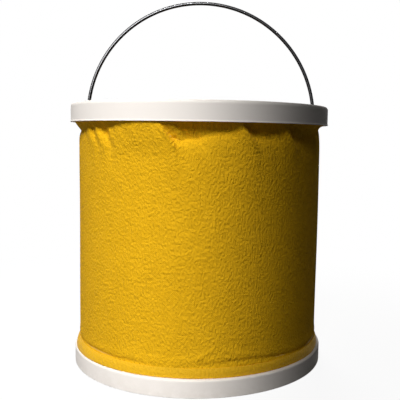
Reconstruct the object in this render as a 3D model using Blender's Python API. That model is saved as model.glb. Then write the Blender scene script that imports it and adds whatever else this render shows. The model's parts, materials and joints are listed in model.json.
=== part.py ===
"""Collapsible camp bucket: a cloth wall between two moulded rims, with a wire bail.

Metres, +Z up. The origin is the centre of the foot ring on the ground. The bail swings about X.
Turned pieces share one step count, so that nested pieces keep their clearance all the way round.
"""
from math import asin, atan2, cos, degrees, pi, radians, sin, tau

import bmesh
import bpy
from mathutils import Matrix, Vector

# Whole bucket
BUCKET_HEIGHT = 0.266          # standing height, to the top of the upper rim
CLEARANCE = 0.0003             # gap between pieces that touch
CLOTH = 0.0009                 # coated canvas
TAPE = 0.0006                  # binding and sealing tape
TURN_STEPS = 60                # sides of every turned piece
CUT_OVERRUN = 0.002            # how far cutters run past what they cut

# Top rim
TOP_RIM_RADIUS = 0.134
TOP_RIM_HEIGHT = 0.019
TOP_SKIRT_WALL = 0.0020        # at the bead, and less above it
SKIRT_BEAD = 0.00045           # the bead round the skirt's foot stands out this far
SKIRT_BEAD_EDGE = 0.0005       # upright part of the bead, above its chamfer
SKIRT_BEAD_SLOPE = 0.0012      # height over which the bead runs out into the skirt
TOP_FLANGE_WALL = 0.0022
TOP_SHOULDER_RADIUS = 0.0035
INNER_WALL = 0.0018
MOUTH_ROUND = 0.0012           # round on the mouth's edge
LIP_CHAMFER = 0.0006           # on the skirt's lower edge
LEDGE_WIDTH = 0.0028           # the folded bail lies on this ledge
LEDGE_WALL = 0.0020
SHOULDER_STEPS = 4

# Top hem and its hoop
HOOP_WIRE_RADIUS = 0.00125
HOOP_SIDES = 6
HEM_SKIRT_GAP = 0.0004         # between the hem and the skirt
HOOK_STEPS = 3                 # sides of the half turn round the hoop
EXIT_INSET = 0.0018            # the cloth leaves the rim this far inside the skirt

# Top clamp ring
CLAMP_LEG = 0.0016
CLAMP_FOOT_WALL = 0.0018
CLAMP_RECESS = 0.0005          # the foot lies this far up inside the skirt
CLAMP_COLLAR = 0.0014
LUG_COUNT = 12
LUG_RISE = 0.0062              # foot to the catch's lower face
LUG_CATCH = 0.0028             # height of the catch
LUG_REACH = 0.0013             # how far the catch stands into its window

# Cloth wall below the top rim
WALL_TUCK = 0.0063             # the wall's outside lies this far inside the skirt
NECK_DEPTH = 0.0028
NECK_DROP = 0.0098             # rim to neck
NECK_RETURN = 0.0070           # neck to where the wall is half way out again
NECK_LENGTH = 0.0150           # neck to the plain wall
FOLD_DEPTH = 0.0014            # how far the folds under the rim stand in or out
BELLY = 0.0004                 # waviness at half height

# Bail
BAIL_WIRE_RADIUS = 0.0018
BAIL_BEND_RADIUS = 0.0029
BAIL_STEPS = 36
BAIL_BEND_STEPS = 4
CLIP_RADIUS = 0.0032
CLIP_WALL = 0.0007
CLIP_DISH = 0.0003
CLIP_SIDES = 16

# Bottom rim
RIM_STEP = 0.003               # the top rim stands out past the bottom rim by this much
BOTTOM_RIM_HEIGHT = 0.017
BOTTOM_SKIRT_WALL = 0.0020
BOTTOM_FLANGE_WALL = 0.0020
BOTTOM_SHOULDER_RADIUS = 0.0028
SNAP_BEAD = 0.0006             # stands in from the skirt, under the clamp ring
SNAP_BEAD_RISE = 0.0013

# Bottom hem, floor and clamp ring
BAND_HEIGHT = 0.0090           # binding that shows above the bottom rim
BINDING_INSIDE = 0.0050        # binding above the rim on the inside
HOOP_FLARE = 0.0005            # the bottom hoop lies this far outside the wall
FLOOR_RISE = 0.0080            # ground to the underside of the floor at its edge
FLOOR_SAG = 0.0022
FLOOR_TAPE_WIDTH = 0.0110
SEAM_TAPE_STEPS = 2            # width of the wall's seam tape, in turn steps
FOOT_PLATE = 0.0018
LIP_WALL = 0.0014
PLATE_WIDTH = 0.0110           # clamp ring, skirt to lip
SEAT_WIDTH = 0.0024            # web under the hoop
BOTTOM_LUG_REACH = 0.0006

# Folds of the cloth: how many round the bucket, where they start in turns, and their shares of the depth
FOLD_COUNTS = (7, 11, 4)
FOLD_START_SHARES = (0.17, 0.41, 0.08)
FOLD_DEPTH_SHARES = (0.5, 0.3, 0.2)

# Places worked out from the sizes above
STEP_ANGLE = tau / TURN_STEPS
top_skirt_bottom = BUCKET_HEIGHT - TOP_RIM_HEIGHT
top_skirt_inner = TOP_RIM_RADIUS - TOP_SKIRT_WALL
skirt_band_radius = TOP_RIM_RADIUS - SKIRT_BEAD
bead_top = top_skirt_bottom + LIP_CHAMFER + SKIRT_BEAD_EDGE
hook_inner = (HOOP_WIRE_RADIUS + CLEARANCE) / cos(pi / (2 * HOOK_STEPS))
hook_outer = hook_inner + CLOTH
top_hoop_radius = top_skirt_inner - HEM_SKIRT_GAP - hook_outer
clamp_leg_outer = top_hoop_radius - hook_outer - CLEARANCE
clamp_leg_inner = clamp_leg_outer - CLAMP_LEG
inner_wall_outer = clamp_leg_inner - CLEARANCE
mouth_radius = inner_wall_outer - INNER_WALL
clamp_foot_bottom = top_skirt_bottom + CLAMP_RECESS
clamp_foot_top = clamp_foot_bottom + CLAMP_FOOT_WALL
top_hoop_z = clamp_foot_top + CLEARANCE + hook_outer
pivot_z = clamp_foot_top + CLEARANCE + CLIP_RADIUS
ledge_top = pivot_z - BAIL_WIRE_RADIUS - CLEARANCE
ledge_bottom = ledge_top - LEDGE_WALL
ledge_radius = mouth_radius - LEDGE_WIDTH
catch_bottom = clamp_foot_top + LUG_RISE
catch_top = catch_bottom + LUG_CATCH
bail_radius = mouth_radius - BAIL_BEND_RADIUS
exit_radius = top_skirt_inner - EXIT_INSET - CLOTH / 2
clamp_foot_radius = exit_radius - CLOTH / 2 - 2 * CLEARANCE

bottom_rim_radius = TOP_RIM_RADIUS - RIM_STEP
bottom_skirt_inner = bottom_rim_radius - BOTTOM_SKIRT_WALL
loop_inner = (HOOP_WIRE_RADIUS + CLEARANCE) / cos(pi / (2 * HOOK_STEPS))
loop_outer = loop_inner + TAPE
bottom_hoop_radius = bottom_skirt_inner - HEM_SKIRT_GAP - loop_outer
wall_bottom_radius = bottom_hoop_radius - HOOP_FLARE
flange_edge = wall_bottom_radius + CLEARANCE + TAPE + CLEARANCE
binding_inner_face = wall_bottom_radius - CLOTH - CLEARANCE - TAPE
floor_radius = binding_inner_face - CLEARANCE
floor_top = FLOOR_RISE + CLOTH
bottom_hoop_z = floor_top + TAPE
seat_top = bottom_hoop_z - loop_outer - CLEARANCE
plate_bottom = SNAP_BEAD_RISE + CLEARANCE
plate_top = plate_bottom + FOOT_PLATE
plate_outer = bottom_skirt_inner - SNAP_BEAD - CLEARANCE
plate_inner = bottom_skirt_inner - PLATE_WIDTH
lip_top = FLOOR_RISE - CLEARANCE
wall_bottom = bottom_hoop_z + loop_outer + CLEARANCE
wall_top_radius = top_skirt_inner - WALL_TUCK
neck_z = top_skirt_bottom - NECK_DROP


def clear_scene():
    for item in list(bpy.data.objects):
        bpy.data.objects.remove(item, do_unlink=True)


def finish_material(name, colour, roughness, metallic=0.0):
    made = bpy.data.materials.new(name)
    made.use_nodes = True
    shader = made.node_tree.nodes["Principled BSDF"]
    shader.inputs["Base Color"].default_value = (*colour, 1.0)
    shader.inputs["Roughness"].default_value = roughness
    shader.inputs["Metallic"].default_value = metallic
    return made


def add_object(name, data, material, location=(0, 0, 0)):
    made = bpy.data.objects.new(name, data)
    made.location = location
    data.materials.append(material)
    bpy.context.scene.collection.objects.link(made)
    return made


def mesh_object(name, bm, material, location=(0, 0, 0)):
    """Close the bmesh into a smooth-shaded object with its faces pointing out."""
    bmesh.ops.recalc_face_normals(bm, faces=bm.faces)
    mesh = bpy.data.meshes.new(name)
    bm.to_mesh(mesh)
    bm.free()
    mesh.shade_smooth()
    mesh.set_sharp_from_angle(angle=radians(35))
    return add_object(name, mesh, material, location)


def arc(centre, radius, start, end, steps):
    """Points (r, z) on an arc, with its angles in degrees from +r towards +z."""
    points = []
    for i in range(steps + 1):
        angle = radians(start + (end - start) * i / steps)
        points.append((centre[0] + radius * cos(angle), centre[1] + radius * sin(angle)))
    return points


def thickened(line, wall):
    """Outline of a sheet whose middle follows a line of points (r, z), with mitred corners."""
    normals = []
    for a, b in zip(line, line[1:]):
        along = (Vector(b) - Vector(a)).normalized()
        normals.append(Vector((-along.y, along.x)))
    left, right = [], []
    for i, point in enumerate(line):
        before, after = normals[max(i - 1, 0)], normals[min(i, len(normals) - 1)]
        middle = (before + after).normalized()
        reach = wall / 2 / middle.dot(after)
        left.append(tuple(Vector(point) + reach * middle))
        right.append(tuple(Vector(point) - reach * middle))
    return left + right[::-1]


def turned(outline, steps=TURN_STEPS, start=0.0, closed=True):
    """Spin an outline (r, z) round Z. A part turn, of fewer steps, gets its two end faces."""
    bm = bmesh.new()
    verts = [bm.verts.new((r * cos(start), r * sin(start), z)) for r, z in outline]
    ends = verts if closed else verts[:-1]
    edges = [bm.edges.new((v, verts[(i + 1) % len(verts)])) for i, v in enumerate(ends)]
    whole = steps == TURN_STEPS
    geometry = verts + edges
    if not whole:
        geometry.append(bm.faces.new(verts))
    bmesh.ops.spin(bm, geom=geometry, cent=(0, 0, 0), axis=(0, 0, 1), angle=STEP_ANGLE * steps,
                   steps=steps, use_merge=whole)
    bmesh.ops.remove_doubles(bm, verts=bm.verts, dist=CLEARANCE / 100)
    bm.normal_update()
    return bm


def turn_of(point):
    """Angle of a point round Z, from 0 to a full turn."""
    return atan2(point.y, point.x) % tau


def step_of(face):
    return int(turn_of(face.calc_center_median()) // STEP_ANGLE) % TURN_STEPS


def radial_shift(verts, distance):
    for v in verts:
        flat = Vector((v.co.x, v.co.y, 0))
        v.co += flat.normalized() * distance


def extruded(bm, faces):
    """Extrude faces and give the new faces and their verts."""
    made = bmesh.ops.extrude_face_region(bm, geom=faces)["geom"]
    left_behind = [face for face in faces if face.is_valid]
    bmesh.ops.delete(bm, geom=left_behind, context="FACES_ONLY")
    new_faces = [item for item in made if isinstance(item, bmesh.types.BMFace)]
    return new_faces, [item for item in made if isinstance(item, bmesh.types.BMVert)]


def cut(target, cutter):
    """Take a cutter away from an object with an exact Boolean."""
    cutter.hide_render = True
    cutter.display_type = "WIRE"
    modifier = target.modifiers.new(cutter.name, "BOOLEAN")
    modifier.operation = "DIFFERENCE"
    modifier.object = cutter


def is_lug_step(step):
    """The lugs stand half way between the bail's bores and each other."""
    pitch = TURN_STEPS // LUG_COUNT
    return step % pitch == pitch // 2


def is_bore_step(step):
    """The steps on both sides of each end of the bail."""
    half = TURN_STEPS // 2
    return step % half in (0, half - 1)


def top_rim(material):
    """Inverted channel: beaded skirt, rounded shoulder, flat top, and an inner wall with a ledge at its foot."""
    shoulder_centre = (skirt_band_radius - TOP_SHOULDER_RADIUS, BUCKET_HEIGHT - TOP_SHOULDER_RADIUS)
    mouth_centre = (mouth_radius + MOUTH_ROUND, BUCKET_HEIGHT - MOUTH_ROUND)
    roof = BUCKET_HEIGHT - TOP_FLANGE_WALL
    outline = (
        arc(shoulder_centre, TOP_SHOULDER_RADIUS, 90, 0, SHOULDER_STEPS)
        + [(skirt_band_radius, bead_top + SKIRT_BEAD_SLOPE),
           (TOP_RIM_RADIUS, bead_top),
           (TOP_RIM_RADIUS, top_skirt_bottom + LIP_CHAMFER),
           (TOP_RIM_RADIUS - LIP_CHAMFER, top_skirt_bottom),
           (top_skirt_inner, top_skirt_bottom),
           (top_skirt_inner, roof - TOP_SKIRT_WALL),
           (top_skirt_inner - TOP_SKIRT_WALL, roof),
           (inner_wall_outer, roof),
           (inner_wall_outer, ledge_bottom),
           (ledge_radius, ledge_bottom),
           (ledge_radius, ledge_top),
           (mouth_radius, ledge_top)]
        + arc(mouth_centre, MOUTH_ROUND, 180, 90, SHOULDER_STEPS // 2)
    )
    rim = mesh_object("top_rim", turned(outline), material)
    cut(rim, snap_window_cutter(material))
    cut(rim, bail_bore_cutter(material))
    return rim


def snap_window_cutter(material):
    """One block for each window in the inner wall, each a clearance larger than its lug's catch."""
    half_width = clamp_leg_inner * sin(STEP_ANGLE / 2) + CLEARANCE
    low, high = catch_bottom - CLEARANCE, catch_top + CLEARANCE
    near, far = mouth_radius - CUT_OVERRUN, clamp_leg_inner
    size = Vector((far - near, 2 * half_width, high - low))
    bm = bmesh.new()
    for step in filter(is_lug_step, range(TURN_STEPS)):
        turn = Matrix.Rotation((step + 0.5) * STEP_ANGLE, 4, "Z")
        place = Matrix.Translation(((near + far) / 2, 0, (low + high) / 2))
        bmesh.ops.create_cube(bm, size=1, matrix=turn @ place @ Matrix.Diagonal((*size, 1)))
    return mesh_object("snap_window_cutter", bm, material)


def bail_bore_cutter(material):
    """One rod through both sides of the inner wall, which ends inside the channel."""
    reach = clamp_leg_outer
    bore = (BAIL_WIRE_RADIUS + CLEARANCE) / cos(pi / CLIP_SIDES)
    bm = bmesh.new()
    bmesh.ops.create_cone(bm, cap_ends=True, segments=CLIP_SIDES, radius1=bore, radius2=bore,
                          depth=2 * reach, matrix=Matrix.Rotation(pi / 2, 4, "Y"))
    return mesh_object("bail_bore_cutter", bm, material, (0, 0, pivot_z))


def top_clamp_ring(material):
    """Foot and low collar all round, with a finger and its catch at each lug."""
    outline = [(clamp_leg_inner, clamp_foot_bottom), (clamp_foot_radius, clamp_foot_bottom),
               (clamp_foot_radius, clamp_foot_top), (clamp_leg_outer, clamp_foot_top),
               (clamp_leg_inner, clamp_foot_top)]
    bm = turned(outline)

    def on_leg(face):
        centre = face.calc_center_median()
        level = all(abs(v.co.z - clamp_foot_top) < CLEARANCE / 10 for v in face.verts)
        return level and Vector((centre.x, centre.y)).length < clamp_leg_outer

    collar = [f for f in bm.faces if on_leg(f) and not is_bore_step(step_of(f))]
    tops, verts = extruded(bm, collar)
    bmesh.ops.translate(bm, verts=verts, vec=(0, 0, CLAMP_COLLAR))
    fingers = [f for f in tops if is_lug_step(step_of(f))]
    tops, verts = extruded(bm, fingers)
    bmesh.ops.translate(bm, verts=verts, vec=(0, 0, LUG_RISE - CLAMP_COLLAR))
    tops, verts = extruded(bm, tops)
    bmesh.ops.translate(bm, verts=verts, vec=(0, 0, LUG_CATCH))
    bm.normal_update()

    def on_catch(face):
        centre = face.calc_center_median()
        inward = face.normal.x * centre.x + face.normal.y * centre.y
        mid_leg = (clamp_leg_inner + clamp_leg_outer) / 2
        upright = abs(face.normal.z) < 0.5 and Vector((centre.x, centre.y)).length < mid_leg
        return upright and abs(inward) > 0.5 * mid_leg and centre.z > catch_bottom

    catches = [f for f in bm.faces if on_catch(f)]
    faces, verts = extruded(bm, catches)
    radial_shift(verts, -LUG_REACH)
    for v in verts:
        if v.co.z > (catch_bottom + catch_top) / 2:
            v.co.z -= LUG_CATCH / 2
    return mesh_object("top_clamp_ring", bm, material)


def hoop(name, radius, height, material):
    outline = arc((radius, height), HOOP_WIRE_RADIUS, 0, 360 - 360 / HOOP_SIDES, HOOP_SIDES - 1)
    return mesh_object(name, turned(outline), material)


def fold(angle):
    """How far the cloth stands in, from -1 to 1, at an angle round the bucket."""
    waves = zip(FOLD_COUNTS, FOLD_START_SHARES, FOLD_DEPTH_SHARES)
    return sum(share * cos(count * angle + tau * start) for count, start, share in waves)


def wall_line():
    """Middle of the wall's cloth, top to bottom, with the share of the folds at each point."""
    hook = arc((top_hoop_radius, top_hoop_z), hook_outer - CLOTH / 2, 180, 0, HOOK_STEPS)
    top = wall_top_radius - CLOTH / 2
    bottom = wall_bottom_radius - CLOTH / 2
    plain_z = neck_z - NECK_LENGTH
    middle_z = (plain_z + wall_bottom) / 2
    wall = [
        (exit_radius, clamp_foot_bottom, 0.0),
        (top - NECK_DEPTH, neck_z, 1.0),
        (top - NECK_DEPTH / 2, neck_z - NECK_RETURN, 0.6),
        (top, plain_z, 0.2),
        ((top + bottom) / 2, middle_z, BELLY / FOLD_DEPTH),
        (bottom, wall_bottom, 0.0),
    ]
    return [(r, z, 0.0) for r, z in hook] + wall


def cloth_wall(material):
    """Tube of cloth: hooked over its hoop, out under the skirt, in to the neck and down into the binding."""
    line = wall_line()
    rows = line[HOOK_STEPS + 1:]
    bm = turned(thickened([(r, z) for r, z, _ in line], CLOTH))
    for v in bm.verts:
        if v.co.z < clamp_foot_bottom:
            nearest = min(rows, key=lambda row: abs(row[1] - v.co.z))
            radial_shift([v], -FOLD_DEPTH * nearest[2] * fold(turn_of(v.co)))
    return mesh_object("cloth_wall", bm, material)


def wall_seam_tape(material):
    """Sealing tape up the inside of the wall's lap seam, at the back."""
    rows = wall_line()[HOOK_STEPS + 2:]
    inset = CLOTH / 2 + CLEARANCE + TAPE / 2
    bottom_row = (rows[-1][0], BOTTOM_RIM_HEIGHT + BINDING_INSIDE + CLEARANCE, rows[-1][2])
    rows = rows[:-1] + [bottom_row]
    line = [(r - inset, z) for r, z, _ in rows]
    start = pi / 2 - SEAM_TAPE_STEPS / 2 * STEP_ANGLE
    bm = turned(thickened(line, TAPE), steps=SEAM_TAPE_STEPS, start=start)
    for v in bm.verts:
        nearest = min(rows, key=lambda row: abs(row[1] - v.co.z))
        radial_shift([v], -FOLD_DEPTH * nearest[2] * fold(turn_of(v.co)))
    return mesh_object("wall_seam_tape", bm, material)


def bail_handle(material):
    """Half circle of wire, each end turned out through the rim's inner wall."""
    reach = clamp_leg_outer
    bend_centre = (bail_radius + BAIL_BEND_RADIUS, BAIL_BEND_RADIUS)
    end = [(reach, 0.0)] + arc(bend_centre, BAIL_BEND_RADIUS, 270, 180, BAIL_BEND_STEPS)
    lift = degrees(asin(2 * BAIL_BEND_RADIUS / bail_radius))
    bow = arc((0.0, 0.0), bail_radius, lift, 180 - lift, BAIL_STEPS)
    path = end + bow + [(-x, z) for x, z in reversed(end)]
    curve = bpy.data.curves.new("bail_handle", "CURVE")
    curve.dimensions = "3D"
    curve.bevel_depth = BAIL_WIRE_RADIUS
    curve.bevel_resolution = 3
    curve.use_fill_caps = True
    spline = curve.splines.new("POLY")
    spline.points.add(len(path) - 1)
    for point, (x, z) in zip(spline.points, path):
        point.co = (x, 0, z, 1)
    return add_object("bail_handle", curve, material, (0, 0, pivot_z))


def bail_clip(name, side, material):
    """Dished push-on washer on the wire's end, inside the rim's channel."""
    near = inner_wall_outer + CLEARANCE
    hole = BAIL_WIRE_RADIUS + CLEARANCE
    outline = [(hole, CLIP_DISH), (hole, CLIP_DISH + CLIP_WALL), (CLIP_RADIUS, CLIP_WALL), (CLIP_RADIUS, 0.0)]
    bm = bmesh.new()
    verts = [bm.verts.new((side * (near + x), r, 0)) for r, x in outline]
    edges = [bm.edges.new((v, verts[(i + 1) % len(verts)])) for i, v in enumerate(verts)]
    bmesh.ops.spin(bm, geom=verts + edges, cent=(0, 0, 0), axis=(1, 0, 0), angle=tau,
                   steps=CLIP_SIDES, use_merge=True)
    return mesh_object(name, bm, material, (0, 0, pivot_z))


def bottom_rim(material):
    """Foot rim: a skirt with a rounded shoulder, a flange that holds the hoop down and a snap bead inside."""
    shoulder_centre = (bottom_rim_radius - BOTTOM_SHOULDER_RADIUS, BOTTOM_RIM_HEIGHT - BOTTOM_SHOULDER_RADIUS)
    bead = bottom_skirt_inner - SNAP_BEAD
    outline = (
        arc(shoulder_centre, BOTTOM_SHOULDER_RADIUS, 90, 0, SHOULDER_STEPS)
        + [(bottom_rim_radius, LIP_CHAMFER),
           (bottom_rim_radius - LIP_CHAMFER, 0.0),
           (bottom_skirt_inner, 0.0),
           (bead, SNAP_BEAD_RISE / 2),
           (bead, SNAP_BEAD_RISE),
           (bottom_skirt_inner, SNAP_BEAD_RISE),
           (bottom_skirt_inner, BOTTOM_RIM_HEIGHT - BOTTOM_FLANGE_WALL),
           (flange_edge, BOTTOM_RIM_HEIGHT - BOTTOM_FLANGE_WALL),
           (flange_edge, BOTTOM_RIM_HEIGHT)]
    )
    return mesh_object("bottom_rim", turned(outline), material)


def bottom_hem_binding(material):
    """Tape folded round the wall's lower edge: an outer leg, a loop round the hoop and an inner leg."""
    centre = (bottom_hoop_radius, bottom_hoop_z)
    outer_leg = wall_bottom_radius + CLEARANCE + TAPE / 2
    inner_leg = binding_inner_face + TAPE / 2
    loop = arc(centre, loop_outer - TAPE / 2, 90, -150, 4)
    line = ([(outer_leg, BOTTOM_RIM_HEIGHT + BAND_HEIGHT), (outer_leg, wall_bottom)]
            + loop[1:]
            + [(inner_leg, wall_bottom - CLEARANCE), (inner_leg, BOTTOM_RIM_HEIGHT + BINDING_INSIDE)])
    return mesh_object("bottom_hem_binding", turned(thickened(line, TAPE)), material)


def base_cloth(material):
    """Round floor, flat over the clamp ring's lip and slack in the middle."""
    inner_edge = plate_inner - LIP_WALL
    rings = [(0.0, 1.0), (inner_edge / 2, 0.8), (inner_edge, 0.0), (floor_radius, 0.0)]
    top = [(r, floor_top - FLOOR_SAG * sag_share) for r, sag_share in rings]
    under = [(r, z - CLOTH) for r, z in reversed(top)]
    return mesh_object("base_cloth", turned(top + under, closed=False), material)


def floor_seam_tape(material):
    """Sealing tape in the corner between the floor and the binding."""
    level = floor_top + CLEARANCE + TAPE / 2
    upright = binding_inner_face - CLEARANCE - TAPE / 2
    line = [(upright - FLOOR_TAPE_WIDTH, level), (upright, level), (upright, level + FLOOR_TAPE_WIDTH)]
    return mesh_object("floor_seam_tape", turned(thickened(line, TAPE)), material)


def bottom_clamp_ring(material):
    """Plate that snaps in over the skirt's bead, with a seat under the hoop and a lip under the floor."""
    seat_outer = bottom_hoop_radius + SEAT_WIDTH / 2
    seat_inner = bottom_hoop_radius - SEAT_WIDTH / 2
    outline = [(plate_inner, plate_bottom), (plate_outer, plate_bottom), (plate_outer, plate_top),
               (seat_outer, plate_top), (seat_outer, seat_top), (seat_inner, seat_top),
               (seat_inner, plate_top), (plate_inner + LIP_WALL, plate_top),
               (plate_inner + LIP_WALL, lip_top), (plate_inner, lip_top)]
    bm = turned(outline)

    def on_edge(face):
        centre = face.calc_center_median()
        reach = Vector((centre.x, centre.y)).length
        return reach > (seat_outer + plate_outer) / 2 and plate_bottom < centre.z < plate_top

    edge = [f for f in bm.faces if on_edge(f) and abs(f.normal.z) < 0.5 and is_lug_step(step_of(f))]
    _, verts = extruded(bm, edge)
    radial_shift(verts, BOTTOM_LUG_REACH)
    return mesh_object("bottom_clamp_ring", bm, material)


def build():
    clear_scene()
    white = finish_material("rim_plastic", (0.83, 0.81, 0.78), 0.42)
    clamp = finish_material("clamp_plastic", (0.74, 0.73, 0.70), 0.5)
    canvas = finish_material("yellow_canvas", (0.80, 0.42, 0.02), 0.75)
    tape = finish_material("yellow_tape", (0.74, 0.38, 0.02), 0.6)
    wire = finish_material("bail_wire", (0.09, 0.09, 0.093), 0.3, 1.0)
    hoop_wire = finish_material("hoop_wire", (0.5, 0.5, 0.5), 0.4, 1.0)

    top_rim(white)
    top_clamp_ring(clamp)
    hoop("top_hoop_wire", top_hoop_radius, top_hoop_z, hoop_wire)
    cloth_wall(canvas)
    wall_seam_tape(tape)
    bail_handle(wire)
    bail_clip("bail_clip_left", -1, hoop_wire)
    bail_clip("bail_clip_right", 1, hoop_wire)
    bottom_rim(white)
    bottom_clamp_ring(clamp)
    hoop("bottom_hoop_wire", bottom_hoop_radius, bottom_hoop_z, hoop_wire)
    bottom_hem_binding(tape)
    base_cloth(canvas)
    floor_seam_tape(tape)
    print("pivot height", round(pivot_z, 5), "mouth radius", round(mouth_radius, 5))
    print("bail radius", round(bail_radius, 5), "ledge radius", round(ledge_radius, 5))
    print("wall bottom", round(wall_bottom, 5), "wall radii", round(wall_top_radius, 5), round(wall_bottom_radius, 5))


build()
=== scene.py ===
# %% [markdown]
# A collapsible camp bucket, dressed for the camera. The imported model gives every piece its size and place.
# This script gives each piece its finish, rebuilds the turned pieces with round sides, and makes the cloth
# with the folds that the real one has under its rim.

# %% Load the fixed frame
import json
from math import asin, atan2, cos, degrees, pi, radians, sin, tau

import bmesh
import bpy
import numpy as np
from mathutils import Matrix, Quaternion, Vector


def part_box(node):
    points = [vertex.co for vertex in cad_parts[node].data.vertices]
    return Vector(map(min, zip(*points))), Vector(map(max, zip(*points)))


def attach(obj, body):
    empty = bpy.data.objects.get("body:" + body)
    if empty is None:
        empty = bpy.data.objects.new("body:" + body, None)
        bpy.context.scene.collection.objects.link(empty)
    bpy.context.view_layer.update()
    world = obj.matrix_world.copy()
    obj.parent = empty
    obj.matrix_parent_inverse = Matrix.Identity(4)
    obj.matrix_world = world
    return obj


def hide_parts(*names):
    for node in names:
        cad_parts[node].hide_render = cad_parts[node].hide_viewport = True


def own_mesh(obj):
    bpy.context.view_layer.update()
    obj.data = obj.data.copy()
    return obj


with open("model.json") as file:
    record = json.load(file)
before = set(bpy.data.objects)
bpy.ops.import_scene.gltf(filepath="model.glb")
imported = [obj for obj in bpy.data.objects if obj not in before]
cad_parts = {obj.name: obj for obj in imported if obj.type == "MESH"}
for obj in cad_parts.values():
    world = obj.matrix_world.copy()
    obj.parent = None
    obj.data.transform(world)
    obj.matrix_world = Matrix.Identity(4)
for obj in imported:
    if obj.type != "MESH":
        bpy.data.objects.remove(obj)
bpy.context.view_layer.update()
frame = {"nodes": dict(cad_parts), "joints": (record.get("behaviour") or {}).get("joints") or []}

MM = 0.001

# %% [markdown]
# The driving sizes are read from the frame, so that nothing here can drift away from the model.
# Sizes that a box can't tell, such as a wall inside a channel, are named where they are used.

# %% Sizes from the frame
rim_low, rim_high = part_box("top_rim")
foot_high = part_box("bottom_rim")[1]
clamp_low, clamp_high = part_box("top_clamp_ring")
plate_low, plate_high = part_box("bottom_clamp_ring")
binding_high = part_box("bottom_hem_binding")[1]
floor_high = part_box("base_cloth")[1]
floor_tape_low, floor_tape_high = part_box("floor_seam_tape")
hoop_low, hoop_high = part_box("top_hoop_wire")
foot_hoop_low, foot_hoop_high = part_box("bottom_hoop_wire")
wall_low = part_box("cloth_wall")[0]
seam_tape_low, seam_tape_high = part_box("wall_seam_tape")
joints = {joint["name"]: joint for joint in frame["joints"]}
PIVOT_Z = joints["bail_swing"]["pos_m"][2]
COLLAPSE_TRAVEL = joints["collapse"]["range_m"][1]

RIM_RADIUS = rim_high.x
RIM_TOP, RIM_BOTTOM = rim_high.z, rim_low.z
FOOT_RADIUS, FOOT_TOP = foot_high.x, foot_high.z
bail_low, bail_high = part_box("bail_handle")
WIRE_RADIUS = (bail_high.y - bail_low.y) / 2
HOOP_WIRE_RADIUS = (hoop_high.z - hoop_low.z) / 2
CLEARANCE = 0.3 * MM
CLOTH = 0.9 * MM
TAPE = 0.6 * MM
print("rim radius", round(RIM_RADIUS, 4), "height", round(RIM_TOP, 4), "pivot", PIVOT_Z)

# %% [markdown]
# The camera repeats the photograph: a hand below the top rim, looking slightly down, and rolled by nearly a
# degree. The lens axis passes right of the picture's middle, as in a cropped picture, so its shift is set
# too. All this was found by laying the outlines of both rims, the wall and the bail over the picture.

# %% Camera
CAMERA_PLACE = Vector((0.0355, -0.6824, 0.2342))
CAMERA_PITCH = radians(5.644)
CAMERA_ROLL = radians(0.883)
FOCAL_PIXELS = 637.9
PICTURE_PIXELS = 400.0
AXIS_OFFSET = 32.76              # pixels that the lens axis lies right of the picture's middle
SENSOR = 36.0

camera_data = bpy.data.cameras.new("studio_camera")
camera_data.sensor_width = SENSOR
camera_data.lens = FOCAL_PIXELS / PICTURE_PIXELS * SENSOR
camera_data.shift_x = -AXIS_OFFSET / PICTURE_PIXELS
camera = bpy.data.objects.new("studio_camera", camera_data)
aim = Matrix.Rotation(pi / 2 - CAMERA_PITCH, 4, "X") @ Matrix.Rotation(CAMERA_ROLL, 4, "Z")
camera.matrix_world = Matrix.Translation(CAMERA_PLACE) @ aim
bpy.context.scene.collection.objects.link(camera)
bpy.context.scene.camera = camera
print("lens", round(camera_data.lens, 2), "mm")

# %% [markdown]
# Shader maths reads better as sums than as node names. A Signal wraps one socket, so an expression such as
# 1 - mask adds its own Math node. A Recipe makes every other kind of node.

# %% Signals and recipes
class Signal:
    """One value that runs between nodes. Sums and products of signals add Math nodes."""

    def __init__(self, recipe, socket):
        self.recipe = recipe
        self.socket = socket

    def math(self, operation, *values):
        return self.recipe.node("ShaderNodeMath", {"operation": operation}, dict(enumerate(values)))

    def __add__(self, other):
        return self.math("ADD", self, other)

    def __radd__(self, other):
        return self.math("ADD", other, self)

    def __sub__(self, other):
        return self.math("SUBTRACT", self, other)

    def __rsub__(self, other):
        return self.math("SUBTRACT", other, self)

    def __mul__(self, other):
        return self.math("MULTIPLY", self, other)

    def __rmul__(self, other):
        return self.math("MULTIPLY", other, self)

    def __pow__(self, other):
        return self.math("POWER", self, other)

    def __abs__(self):
        return self.math("ABSOLUTE", self)

    def sine(self):
        return self.math("SINE", self)

    def above(self, level):
        return self.math("GREATER_THAN", self, level)

    def clamped(self):
        return self.recipe.node("ShaderNodeClamp", {}, {0: self})

    def between(self, low, high):
        """0 below low, 1 above high and smooth in between."""
        return self.recipe.node("ShaderNodeMapRange", {"interpolation_type": "SMOOTHSTEP"},
                                {"Value": self, "From Min": low, "From Max": high})


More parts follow.
